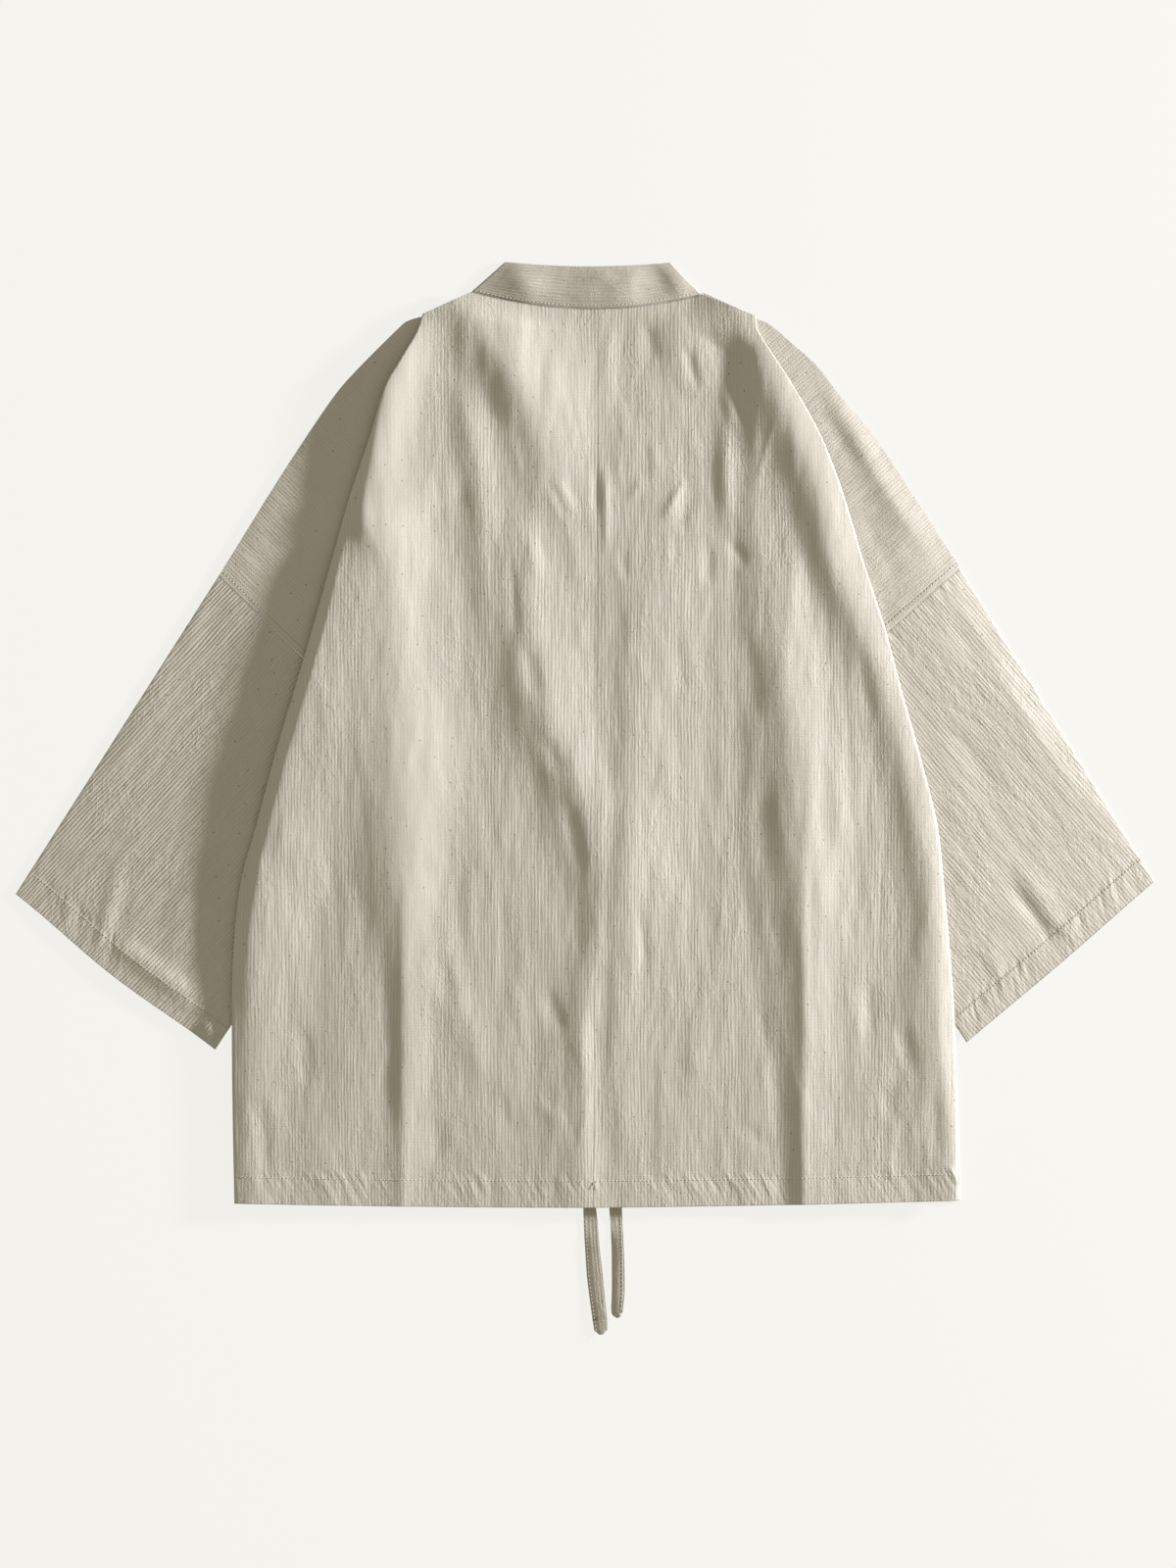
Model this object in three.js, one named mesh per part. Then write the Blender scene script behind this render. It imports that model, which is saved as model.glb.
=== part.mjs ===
// A kimono-style jacket of slubbed cotton and linen, laid face down with its arms drawn down.
// Millimetres, +Z up. X runs across the back, Y from the hem to the collar, and z = 0 is the surface.
// "left" and "right" are the wearer's, which is how they look from above, because the back is up.
import * as THREE from "three";

const { lerp, smoothstep } = THREE.MathUtils;

// ---- The cloth ---------------------------------------------------------------------------------
const CLOTH = 1.0; // thickness of one wall of cloth
const CLEARANCE = 0.3; // between one layer of cloth and the next
const SEAM_GAP = 0.4; // between the edges of two pieces, which come closer where they tilt
const ARMHOLE_GAP = 0.6; // the armhole's edges tilt most
const LAYER = CLOTH + CLEARANCE; // rise from one layer to the layer on it
const COLOUR = 0xc9c1ae; // unbleached cotton and linen
const ROUGHNESS = 0.95;

// The order of the layers at the side of the body, from the surface up. The arm lies between the
// folded fronts and the folded back, with a little slack over it.
const LEVEL = { frontBody: 0, frontPleat: 1, frontArm: 2, backArm: 3, backPleat: 4.2, backBody: 5.2 };
const NECK_LEVEL = 1; // the back rests on the band at the neck
const CENTRE_LEVEL = 2.2; // and clears the bands and ties below it
const TIE_LEVEL = 1;

// ---- Driving sizes -----------------------------------------------------------------------------
const HEM_Y = -334.5; // the hem at its outer corners
const HEM_DIP = 3.5; // how far it bows down at the middle
const HEM_HALF_WIDTH = 300;
const NECK_Y = 404.5; // lowest point of the back neck seam
const NECK_MIDDLE_X = 5;
const NECK_RISE = 14; // how far the seam climbs to the corners of the neck
const NECK_HALF_WIDTH = 100;
const BAND_TOP_Y = 439.5; // free edge of the band at the middle of the back
const BAND_TOP_RISE = 3.5;
const BAND_TOP_HALF_WIDTH = 70;
const BAND_CORNER_CLEARANCE = 0.9; // the turned-over corner stands this far off the neck seam
const CENTRE_TOP_X = 10.5; // the centre back seam, at the neck and at the hem
const CENTRE_HEM_X = 6.5;
const SHOULDER_INSET = 1.2; // room for the folded edge's turn at the shoulder
const PLEAT_CAUGHT = 4; // depth of the side pleat where the shoulder seam catches it
const ARM_FLAT = 13; // the arm stays level this far outside the body, then comes down
const ARM_RUN = 50;
const SLEEVE_FULLNESS = 1.2; // the back of a sleeve bows off its front
const FRONT_SET_BACK = 1; // the fronts lie this far inside the back's outline
const PEEK_FROM_Y = -235; // below here the right front comes out beside the back
const PEEK_TO_Y = -265;
const STEP_FROM = 46; // the back steps up on to the folded layers between these two distances
const STEP_TO = 7; // from the pleat's inner fold
const NECK_FALL = 90; // length over which the back comes off the band
const NECK_CALM = 25; // and over which its folds begin
const SIDE_SEAM_CLOSES = 0.2; // share of the length over which the side seam closes
const HEM_DROP_SPAN = 12; // the ties come down to the surface over this length past the hem

// The corners of each half as [x, y]. The pivot is where the arm turns about the shoulder, and
// pleatEnd is where the side seam leaves the pleat's inner fold.
const SIDES = [
  {
    name: "left",
    sign: -1,
    neck: [-94, 418.5],
    pivot: [-134, 400.5],
    shoulderEnd: [-303, 183.5],
    underarm: [-146, 32],
    pleatEnd: [-135, 36],
    seamHem: [-178, -333],
    hem: [-289.5, HEM_Y],
    cuffTop: [-470.5, -79],
    cuffUnder: [-305.5, -207.5],
    cuffBow: 4,
    bandTop: [-66, 443],
    bandSeamHemX: -29,
    bandFreeHemX: 6.5,
    frontPeek: 0,
  },
  {
    name: "right",
    sign: 1,
    neck: [96.5, 419.5],
    pivot: [141, 398.5],
    shoulderEnd: [310, 190],
    underarm: [150, 50],
    pleatEnd: [139, 54],
    seamHem: [182, -331],
    hem: [308.3, HEM_Y + 2.5],
    cuffTop: [470.5, -68.5],
    cuffUnder: [315, -201.5],
    cuffBow: 1,
    bandTop: [70.5, 442],
    bandSeamHemX: 45,
    bandFreeHemX: 9.5,
    frontPeek: 2.6,
  },
];

// The outline of the dropped shoulder between the pivot and the armhole.
const SHOULDER = [
  { left: [-155.5, 387], right: [171.5, 375] },
  { left: [-191, 351.5], right: [191, 357.5] },
  { left: [-210.5, 328], right: [210, 333] },
  { left: [-246, 275], right: [238, 299.5] },
  { left: [-274.5, 229.5], right: [267, 256.5] },
];

// The folded edge down each side of the body: its x at each height y.
const BODY_EDGE = [
  { y: 385, left: -139, right: 143.5 },
  { y: 365, left: -150.5, right: 156 },
  { y: 340, left: -164.8, right: 172 },
  { y: 300, left: -177, right: 194.3 },
  { y: 250, left: -194, right: 213.5 },
  { y: 195, left: -209.5, right: 230 },
  { y: 140, left: -225, right: 247.8 },
  { y: 90, left: -239.8, right: 261 },
  { y: 40, left: -254.8, right: 275.2 },
  { y: -20, left: -270.8, right: 290.3 },
  { y: -70, left: -284.5, right: 296 },
  { y: -130, left: -290.5, right: 301.5 },
  { y: -190, left: -291.6, right: 305.4 },
  { y: -260, left: -291, right: 306.7 },
];

// The largest folds of the back. Each is a crest from top to bottom: at height y it stands at x,
// rises by rise, and dies away within about left and right of it.
const FOLDS = {
  leftCrest: [
    { y: 392, x: -138, left: 10, right: 22, rise: 0 },
    { y: 336, x: -163, left: 14, right: 34, rise: 6 },
    { y: 295, x: -166, left: 20, right: 36, rise: 6 },
    { y: 170, x: -151, left: 36, right: 30, rise: 5.5 },
    { y: 12, x: -147, left: 44, right: 34, rise: 5.5 },
    { y: -69, x: -151, left: 36, right: 30, rise: 5 },
    { y: -160, x: -154, left: 26, right: 20, rise: 3.6 },
    { y: -345, x: -154, left: 24, right: 18, rise: 3 },
  ],
  leftEdge: [
    { y: 300, x: -170, left: 12, right: 14, rise: 0 },
    { y: 174, x: -204, left: 12, right: 26, rise: 3 },
    { y: 93, x: -227, left: 12, right: 26, rise: 3 },
    { y: -69, x: -277, left: 12, right: 26, rise: 1.8 },
    { y: -332, x: -279, left: 12, right: 26, rise: 1.2 },
  ],
  shoulderBlade: [
    { y: 402, x: -92, left: 12, right: 26, rise: 3.5 },
    { y: 360, x: -63, left: 14, right: 34, rise: 6 },
    { y: 303, x: -37, left: 13, right: 28, rise: 4 },
    { y: 235, x: -40, left: 12, right: 20, rise: 0 },
  ],
  middle: [
    { y: 240, x: -56, left: 10, right: 20, rise: 0.8 },
    { y: 93, x: -42, left: 14, right: 30, rise: 3 },
    { y: -28, x: -1, left: 14, right: 24, rise: 3.4 },
    { y: -100, x: 7, left: 13, right: 14, rise: 3 },
    { y: -345, x: 7, left: 16, right: 14, rise: 2 },
  ],
  rightInner: [
    { y: 400, x: 88, left: 10, right: 18, rise: 2 },
    { y: 350, x: 95, left: 10, right: 22, rise: 4 },
    { y: 285, x: 113, left: 10, right: 18, rise: 3.4 },
    { y: 205, x: 124, left: 12, right: 16, rise: 0 },
  ],
  rightCrest: [
    { y: 396, x: 142, left: 10, right: 10, rise: 0 },
    { y: 360, x: 156, left: 16, right: 10, rise: 6 },
    { y: 295, x: 171, left: 20, right: 16, rise: 6.5 },
    { y: 250, x: 191, left: 18, right: 17, rise: 6 },
    { y: 174, x: 194, left: 14, right: 30, rise: 5 },
    { y: 93, x: 186, left: 24, right: 30, rise: 5 },
    { y: -69, x: 181, left: 22, right: 34, rise: 6 },
    { y: -150, x: 181, left: 22, right: 26, rise: 5 },
    { y: -345, x: 181, left: 14, right: 20, rise: 3.5 },
  ],
  rightEdge: [
    { y: 190, x: 222, left: 12, right: 12, rise: 0.5 },
    { y: 77, x: 249, left: 13, right: 13, rise: 2.5 },
    { y: -69, x: 284, left: 14, right: 12, rise: 4 },
    { y: -190, x: 290, left: 14, right: 12, rise: 3.4 },
    { y: -335, x: 295, left: 14, right: 12, rise: 2 },
  ],
};

// The ties: the middle of the tape, its width and the row that it passes through. The last row is
// the pointed tip.
const TIE_ATTACH_ROWS = 4; // rows that lie under the back, above the hem
const TIES = {
  left: [
    { x: -15, y: -35, width: 10.5 },
    { x: -10, y: -120, width: 10.5 },
    { x: -3, y: -220, width: 10.5 },
    { x: 2.6, y: -300, width: 10.5 },
    { x: 3.8, y: HEM_Y - HEM_DIP, width: 10.5 },
    { x: 4.6, y: HEM_Y - HEM_DIP - HEM_DROP_SPAN, width: 11.5 },
    { x: 6.1, y: -372, width: 12 },
    { x: 8, y: -394, width: 13 },
    { x: 10.2, y: -414, width: 12.5 },
    { x: 12.2, y: -430, width: 12 },
    { x: 13, y: -439, width: 11 },
    { x: 13.2, y: -443, width: 3 },
  ],
  right: [
    { x: 33, y: -30, width: 10.5 },
    { x: 29, y: -120, width: 10.5 },
    { x: 25.5, y: -220, width: 10.5 },
    { x: 24.5, y: -300, width: 10.5 },
    { x: 25.2, y: HEM_Y - HEM_DIP, width: 10.5 },
    { x: 25.9, y: HEM_Y - HEM_DIP - HEM_DROP_SPAN, width: 10 },
    { x: 27, y: -372, width: 10 },
    { x: 27.4, y: -392, width: 10.5 },
    { x: 27.4, y: -408, width: 10.5 },
    { x: 26.6, y: -420, width: 10 },
    { x: 26.4, y: -425, width: 9 },
    { x: 28, y: -428.8, width: 3 },
  ],
};

// ---- How finely each piece is divided ----------------------------------------------------------
const ROWS = 24; // from shoulder to hem
const ARM_ROWS = 10; // of those, the rows that run on into the dropped shoulder
const NECK_COLUMNS = 8;
const SHOULDER_COLUMNS = 6;
const FRONT_COLUMNS = 6;
const PLEAT_SHARES = [0, 0.4, 0.75, 1]; // where the columns of the turned-under layer stand
const ARM_COLUMNS = 6;
const TURN_STEPS = 4; // flats round half a turn of a fold
const SLEEVE_ROWS = 11;
const SLEEVE_COLUMNS = 8;
const BAND_FRONT_ROWS = 10;
const BAND_BACK_ROWS = 14;
const BAND_COLUMNS = 2;

// ---- Small helpers -----------------------------------------------------------------------------
const layerHeight = (level) => level * LAYER + CLOTH / 2;
const vec2 = ([x, y]) => new THREE.Vector2(x, y);

// A smooth line through a few points, as a function of the share t of its length.
function line(...points) {
  const curve = new THREE.SplineCurve(points.map(vec2));
  return (t) => curve.getPointAt(t);
}

// Two lines end to end: the first takes the share split of t.
function joined(first, second, split) {
  return (t) => (t <= split ? first(t / split) : second((t - split) / (1 - split)));
}

// What a table from top to bottom holds at height y, between its rows.
function rowAt(rows, y) {
  const next = rows.findIndex((row) => row.y <= y);
  if (next <= 0) return rows.at(next);
  const [above, below] = [rows[next - 1], rows[next]];
  const share = (above.y - y) / (above.y - below.y);
  const between = (key) => [key, lerp(above[key], below[key], share)];
  return Object.fromEntries(Object.keys(below).map(between));
}

// The x of the body's folded edge at height y.
function edgeX(side, y) {
  const ends = [side.pivot, side.hem].map((end) => ({ y: end[1], [side.name]: end[0] }));
  return rowAt([ends[0], ...BODY_EDGE, ends[1]], y)[side.name];
}

// The patch inside four edges: u runs from the inner edge to the outer, v from top to bottom.
function patch({ top, bottom, inner, outer }) {
  return (u, v) => {
    const point = new THREE.Vector2();
    point.addScaledVector(top(u), 1 - v).addScaledVector(bottom(u), v);
    point.addScaledVector(inner(v), 1 - u).addScaledVector(outer(v), u);
    point.addScaledVector(top(0), (u - 1) * (1 - v)).addScaledVector(top(1), -u * (1 - v));
    return point.addScaledVector(bottom(0), (u - 1) * v).addScaledVector(bottom(1), -u * v);
  };
}

// A closed wall of cloth on a grid of points in its middle. covers says which cells are cloth, and
// on a ring the last column meets the first.
function clothWall(name, rows, columns, pointAt, { ring = false, covers = () => true } = {}) {
  const across = ring ? columns : columns + 1;
  const at = (i, j) => j * across + (i % across);
  const middle = [];
  for (let j = 0; j <= rows; j++) {
    for (let i = 0; i < across; i++) middle.push(pointAt(i, j));
  }
  const cells = [];
  for (let j = 0; j < rows; j++) {
    for (let i = 0; i < columns; i++) {
      if (covers(i, j)) cells.push([at(i, j), at(i + 1, j), at(i + 1, j + 1), at(i, j + 1)]);
    }
  }
  const normals = middle.map(() => new THREE.Vector3());
  const edges = new Map();
  for (const cell of cells) {
    const [a, b, c, d] = cell.map((k) => middle[k]);
    const face = c.clone().sub(a).cross(d.clone().sub(b));
    cell.forEach((k) => normals[k].add(face));
    cell.forEach((k, n) => edges.set(`${k}:${cell[(n + 1) % 4]}`, [k, cell[(n + 1) % 4]]));
  }
  const corners = [];
  for (const part of [1, -1]) {
    middle.forEach((point, k) => {
      const step = normals[k].clone().normalize().multiplyScalar((part * CLOTH) / 2);
      corners.push(...point.clone().add(step).toArray());
    });
  }
  const under = middle.length;
  const faces = [];
  for (const [a, b, c, d] of cells) {
    faces.push(a, b, c, a, c, d);
    faces.push(under + a, under + c, under + b, under + a, under + d, under + c);
  }
  for (const [from, to] of edges.values()) {
    if (edges.has(`${to}:${from}`)) continue;
    faces.push(to, from, under + from, to, under + from, under + to);
  }
  const geometry = new THREE.BufferGeometry();
  geometry.setAttribute("position", new THREE.Float32BufferAttribute(corners, 3));
  geometry.setIndex(faces);
  const material = new THREE.MeshStandardMaterial({
    color: COLOUR,
    roughness: ROUGHNESS,
    metalness: 0,
  });
  const mesh = new THREE.Mesh(geometry, material);
  mesh.name = name;
  return mesh;
}

// ---- Outlines that several pieces share --------------------------------------------------------
const neckY = (x) => NECK_Y + NECK_RISE * ((x - NECK_MIDDLE_X) / NECK_HALF_WIDTH) ** 2;
const bandTopY = (x) => BAND_TOP_Y + BAND_TOP_RISE * ((x - NECK_MIDDLE_X) / BAND_TOP_HALF_WIDTH) ** 2;

// The hem bows down a little between its corners.
function hemLine(from, to) {
  const bow = (x) => HEM_DIP * (1 - (x / HEM_HALF_WIDTH) ** 2);
  return (t) => {
    const x = lerp(from[0], to[0], t);
    return new THREE.Vector2(x, lerp(from[1], to[1], t) - bow(x) + lerp(bow(from[0]), bow(to[0]), t));
  };
}

const centreX = (y) => lerp(CENTRE_TOP_X, CENTRE_HEM_X, (NECK_Y - y) / (NECK_Y - HEM_Y));

// How far each layer of an arm has come down to the surface, from 0 beside the body to 1.
function armSettled(side, { x, y }) {
  const outside = side.sign * (x - edgeX(side, y));
  return smoothstep(outside, ARM_FLAT, ARM_FLAT + ARM_RUN);
}

// Height of an arm's front and back layer. across runs from the shoulder's edge, 0, to the underarm, 1.
const frontArmHeight = (side, point) =>
  layerHeight(LEVEL.frontArm) - LEVEL.frontArm * LAYER * armSettled(side, point);

function backArmHeight(side, point, across) {
  const inside = Math.sin(Math.PI * across) ** 0.5; // both edges of the arm stay closed
  const full = SLEEVE_FULLNESS * armSettled(side, point) * inside;
  return frontArmHeight(side, point) + LAYER + full;
}

// Height of the back of the body: high on the folded layers at the sides, low at the middle.
function backHeight({ x, y }) {
  const side = SIDES[x < centreX(y) ? 0 : 1];
  const inner = Math.abs(lerp(side.pivot[0], side.seamHem[0], smoothstep(-y, 0, -HEM_Y)));
  const low = lerp(NECK_LEVEL, CENTRE_LEVEL, smoothstep(neckY(x) - y, 0, NECK_FALL));
  const level = lerp(low, LEVEL.backBody, smoothstep(Math.abs(x), inner - STEP_FROM, inner - STEP_TO));
  let folds = 0;
  for (const crest of Object.values(FOLDS)) {
    const { x: middle, left, right, rise } = rowAt(crest, y);
    folds += rise * Math.exp(-(((x - middle) / (x < middle ? left : right)) ** 2));
  }
  return layerHeight(level) + folds * smoothstep(neckY(x) - y, 0, NECK_CALM);
}

// ---- Panels ------------------------------------------------------------------------------------
// One half of the back or of the front. From the body's inner seam the cloth runs out to the folded
// edge, turns, runs back under (or over) itself to the pleat's inner fold, turns again and comes out
// as the dropped shoulder. Below the armhole it ends at the side seam, inside the fold.
function panel(side, { name, inner, top, levels, bodyColumns, bodyHeight, armHeight, outset }) {
  const split = ARM_ROWS / ROWS;
  const outward = side.sign;
  const edge = line(
    side.pivot,
    ...BODY_EDGE.map((row) => [row[side.name] + outset(row.y) * outward, row.y]),
    [side.hem[0] + outset(side.hem[1]) * outward, side.hem[1]],
  );
  // The middle of the folded edge's turn, which is its radius inside the edge.
  const turnRadius = (v) => (Math.abs(bodyHeight(edge(v)) - layerHeight(levels.pleat)) + CLOTH) / 2;
  const away = (v) => {
    const ahead = edge(Math.min(v + 0.02, 1)).sub(edge(Math.max(v - 0.02, 0)));
    return new THREE.Vector2(-ahead.y, ahead.x).normalize().multiplyScalar(outward);
  };
  const turn = (v) => edge(v).addScaledVector(away(v), -turnRadius(v));
  const caught = turn(0).addScaledVector(away(0), -PLEAT_CAUGHT);
  const innerFold = joined(
    line(caught.toArray(), side.pleatEnd),
    line(side.pleatEnd, side.seamHem),
    split,
  );
  const body = patch({ top, inner, outer: turn, bottom: hemLine(inner(1).toArray(), turn(1).toArray()) });
  const pleat = patch({
    top: line(turn(0).toArray(), caught.toArray()),
    bottom: hemLine(turn(1).toArray(), side.seamHem),
    inner: turn,
    outer: innerFold,
  });
  const out = vec2(side.shoulderEnd).sub(vec2(side.underarm)).normalize();
  const seam = new THREE.Vector2(-out.y, out.x).multiplyScalar(outward * ARMHOLE_GAP);
  const armhole = line(
    vec2(side.shoulderEnd).add(seam).toArray(),
    vec2(side.underarm).add(seam).toArray(),
  );
  const arm = patch({
    top: line(caught.toArray(), ...SHOULDER.map((row) => row[side.name]), armhole(0).toArray()),
    bottom: line(side.pleatEnd, armhole(1).toArray()),
    inner: (v) => innerFold(v * split),
    outer: armhole,
  });

  // A point round a turn of cloth, from the layer at height first to the one at height last.
  const round = (centre, direction, first, last, share) => {
    const reach = (Math.abs(first - last) / 2) * Math.sin(Math.PI * share);
    const height = (first + last) / 2 + ((first - last) / 2) * Math.cos(Math.PI * share);
    return new THREE.Vector3(centre.x + direction.x * reach, centre.y + direction.y * reach, height);
  };
  const pleatHeight = layerHeight(levels.pleat);
  const seamHeight = layerHeight(levels.seam);
  const inward = new THREE.Vector2(-outward, 0);
  const stations = [];
  for (let i = 0; i < bodyColumns; i++) {
    stations.push((v) => {
      const point = body(i / bodyColumns, v);
      return new THREE.Vector3(point.x, point.y, bodyHeight(point));
    });
  }
  for (let i = 0; i < TURN_STEPS; i++) {
    stations.push((v) => round(turn(v), away(v), bodyHeight(turn(v)), pleatHeight, i / TURN_STEPS));
  }
  for (const share of PLEAT_SHARES.slice(0, -1)) {
    stations.push((v) => {
      const point = pleat(share, v);
      return new THREE.Vector3(point.x, point.y, pleatHeight);
    });
  }
  const foldColumn = stations.length;
  for (let i = 0; i < TURN_STEPS; i++) {
    stations.push((v) => {
      const drop = smoothstep(v, split, split + SIDE_SEAM_CLOSES);
      const height = lerp(pleatHeight, seamHeight, i === 0 ? drop : 0);
      const point = innerFold(v);
      return round(point, inward, height, armHeight(point, Math.min(v / split, 1)), i / TURN_STEPS);
    });
  }
  for (let i = 0; i <= ARM_COLUMNS; i++) {
    stations.push((v) => {
      const across = Math.min(v / split, 1);
      const point = arm(i / ARM_COLUMNS, across);
      return new THREE.Vector3(point.x, point.y, armHeight(point, across));
    });
  }
  return clothWall(name, ROWS, stations.length - 1, (i, j) => stations[i](j / ROWS), {
    covers: (i, j) => i < foldColumn || j < ARM_ROWS,
  });
}

function backPanel(side) {
  const gap = (side.sign * SEAM_GAP) / 2;
  const middleX = centreX(NECK_Y) + gap;
  const neck = (t) => {
    const x = lerp(middleX, side.neck[0], t);
    return new THREE.Vector2(x, neckY(x));
  };
  const corner = neck(1).toArray();
  const split = NECK_COLUMNS / (NECK_COLUMNS + SHOULDER_COLUMNS);
  const shoulder = [side.pivot[0] - side.sign * SHOULDER_INSET, side.pivot[1]];
  return panel(side, {
    name: `back_${side.name}`,
    inner: line([middleX, neckY(middleX)], [centreX(HEM_Y) + gap, HEM_Y - HEM_DIP]),
    top: joined(neck, line(corner, shoulder), split),
    levels: { pleat: LEVEL.backPleat, seam: (LEVEL.frontArm + LEVEL.backArm) / 2 + 0.5 },
    bodyColumns: NECK_COLUMNS + SHOULDER_COLUMNS,
    bodyHeight: backHeight,
    armHeight: (point, across) => backArmHeight(side, point, across),
    outset: () => 0,
  });
}

// The line where a front meets the band, from the neck's corner to the hem.
function bandSeam(side, clearance) {
  const shift = side.sign * clearance;
  return line(
    [side.neck[0] + shift, side.neck[1] - 1],
    [side.bandSeamHemX + shift, side.hem[1] - HEM_DIP + 1],
  );
}

function frontPanel(side) {
  const inner = bandSeam(side, SEAM_GAP);
  return panel(side, {
    name: `front_${side.name}`,
    inner,
    top: line(inner(0).toArray(), [side.pivot[0] - side.sign * SHOULDER_INSET, side.pivot[1]]),
    levels: { pleat: LEVEL.frontPleat, seam: (LEVEL.frontArm + LEVEL.backArm) / 2 - 0.5 },
    bodyColumns: FRONT_COLUMNS,
    bodyHeight: () => layerHeight(LEVEL.frontBody),
    armHeight: (point) => frontArmHeight(side, point),
    outset: (y) => side.frontPeek * smoothstep(-y, -PEEK_FROM_Y, -PEEK_TO_Y) - FRONT_SET_BACK,
  });
}

// ---- Sleeves -----------------------------------------------------------------------------------
// A flattened tube: each ring runs over the back from the top edge to the underarm, turns, and comes
// back along the front.
function sleeve(side) {
  const top = line(side.shoulderEnd, side.cuffTop);
  const underarm = line(side.underarm, side.cuffUnder);
  const along = vec2(side.cuffTop).sub(vec2(side.shoulderEnd)).normalize();
  const turnRadius = LAYER / 2;
  const place = (across, down) => {
    const from = top(down);
    const to = underarm(down);
    const width = to.clone().sub(from).normalize();
    const inset = turnRadius + CLOTH / 2;
    const span = from.distanceTo(to) - 2 * inset;
    const point = from.addScaledVector(width, inset + span * across);
    const bow = side.cuffBow * Math.sin(Math.PI * across) ** 2 * smoothstep(down, 0.6, 1);
    return { point: point.addScaledVector(along, bow), width };
  };
  const turned = (across, down, share) => {
    const { point, width } = place(across, down);
    const angle = Math.PI * share;
    const out = across === 1 ? 1 : -1;
    const height = frontArmHeight(side, point) + turnRadius;
    point.addScaledVector(width, out * turnRadius * Math.sin(angle));
    return new THREE.Vector3(point.x, point.y, height + out * turnRadius * Math.cos(angle));
  };
  const stations = [];
  for (let i = 0; i < SLEEVE_COLUMNS; i++) {
    stations.push((down) => {
      const across = i / SLEEVE_COLUMNS;
      const { point } = place(across, down);
      return new THREE.Vector3(point.x, point.y, backArmHeight(side, point, across));
    });
  }
  for (let i = 0; i < TURN_STEPS; i++) stations.push((down) => turned(1, down, i / TURN_STEPS));
  for (let i = 0; i < SLEEVE_COLUMNS; i++) {
    stations.push((down) => {
      const { point } = place(1 - i / SLEEVE_COLUMNS, down);
      return new THREE.Vector3(point.x, point.y, frontArmHeight(side, point));
    });
  }
  for (let i = 0; i < TURN_STEPS; i++) stations.push((down) => turned(0, down, i / TURN_STEPS));
  return clothWall(`sleeve_${side.name}`, SLEEVE_ROWS, stations.length, (i, j) => {
    return stations[i % stations.length](j / SLEEVE_ROWS);
  }, { ring: true });
}

// ---- Collar band -------------------------------------------------------------------------------
// One strip: up the left front under the back, over at the corner of the neck, round the back of the
// neck, over again and down the right front. Each row is a line across the strip.
function collarBand() {
  const [left, right] = SIDES;
  const low = layerHeight(LEVEL.frontBody);
  const high = layerHeight(NECK_LEVEL);
  const frontRow = (side, t) => {
    const seam = bandSeam(side, 0);
    const free = line([side.bandTop[0], side.bandTop[1] - 1], [side.bandFreeHemX, seam(1).y]);
    return { seam: seam(t), free: free(t), height: low };
  };
  const backRow = (t) => {
    const seamX = lerp(left.neck[0], right.neck[0], t);
    const freeX = lerp(left.bandTop[0], right.bandTop[0], t);
    return {
      seam: new THREE.Vector2(seamX, neckY(seamX) + SEAM_GAP),
      free: new THREE.Vector2(freeX, bandTopY(freeX)),
      height: high,
    };
  };
  const rows = [];
  for (let j = 0; j < BAND_FRONT_ROWS; j++) rows.push(frontRow(left, 1 - j / BAND_FRONT_ROWS));
  // At a corner the strip turns over about the line across it.
  const over = (side, share) => {
    const row = backRow(side === left ? 0 : 1);
    const across = row.free.clone().sub(row.seam).normalize();
    const out = new THREE.Vector2(-across.y, across.x).multiplyScalar(-side.sign);
    if (out.x * side.sign < 0) out.negate();
    const reach = ((high - low) / 2) * Math.sin(Math.PI * share) - (high - low + CLOTH) / 2;
    const height = lerp(low, high, (1 - Math.cos(Math.PI * share)) / 2);
    return {
      seam: row.seam.addScaledVector(out, reach).addScaledVector(across, BAND_CORNER_CLEARANCE),
      free: row.free.addScaledVector(out, reach),
      height,
    };
  };
  for (let j = 0; j < TURN_STEPS; j++) rows.push(over(left, j / TURN_STEPS));
  rows.push(over(left, 1));
  for (let j = 1; j < BAND_BACK_ROWS; j++) rows.push(backRow(j / BAND_BACK_ROWS));
  rows.push(over(right, 1));
  for (let j = TURN_STEPS - 1; j >= 0; j--) rows.push(over(right, j / TURN_STEPS));
  for (let j = 1; j <= BAND_FRONT_ROWS; j++) rows.push(frontRow(right, j / BAND_FRONT_ROWS));
  return clothWall("collar_band", rows.length - 1, BAND_COLUMNS, (i, j) => {
    const { seam, free, height } = rows[j];
    const point = seam.clone().lerp(free, i / BAND_COLUMNS);
    return new THREE.Vector3(point.x, point.y, height);
  });
}

// ---- Ties --------------------------------------------------------------------------------------
// A narrow tape that lies on the band, passes under the back's hem and comes down to the surface.
function tie(side) {
  const rows = TIES[side.name];
  const height = (j) => layerHeight(j <= TIE_ATTACH_ROWS ? TIE_LEVEL : LEVEL.frontBody);
  return clothWall(`tie_${side.name}`, rows.length - 1, 1, (i, j) => {
    const ahead = rows[Math.min(j + 1, rows.length - 1)];
    const behind = rows[Math.max(j - 1, 0)];
    const across = new THREE.Vector2(ahead.y - behind.y, behind.x - ahead.x).normalize();
    const { x, y, width } = rows[j];
    const reach = (i - 0.5) * width;
    return new THREE.Vector3(x + across.x * reach, y + across.y * reach, height(j));
  });
}

const jacket = new THREE.Group();
for (const side of SIDES) jacket.add(backPanel(side), frontPanel(side), sleeve(side), tie(side));
jacket.add(collarBand());

export default jacket;
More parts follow.
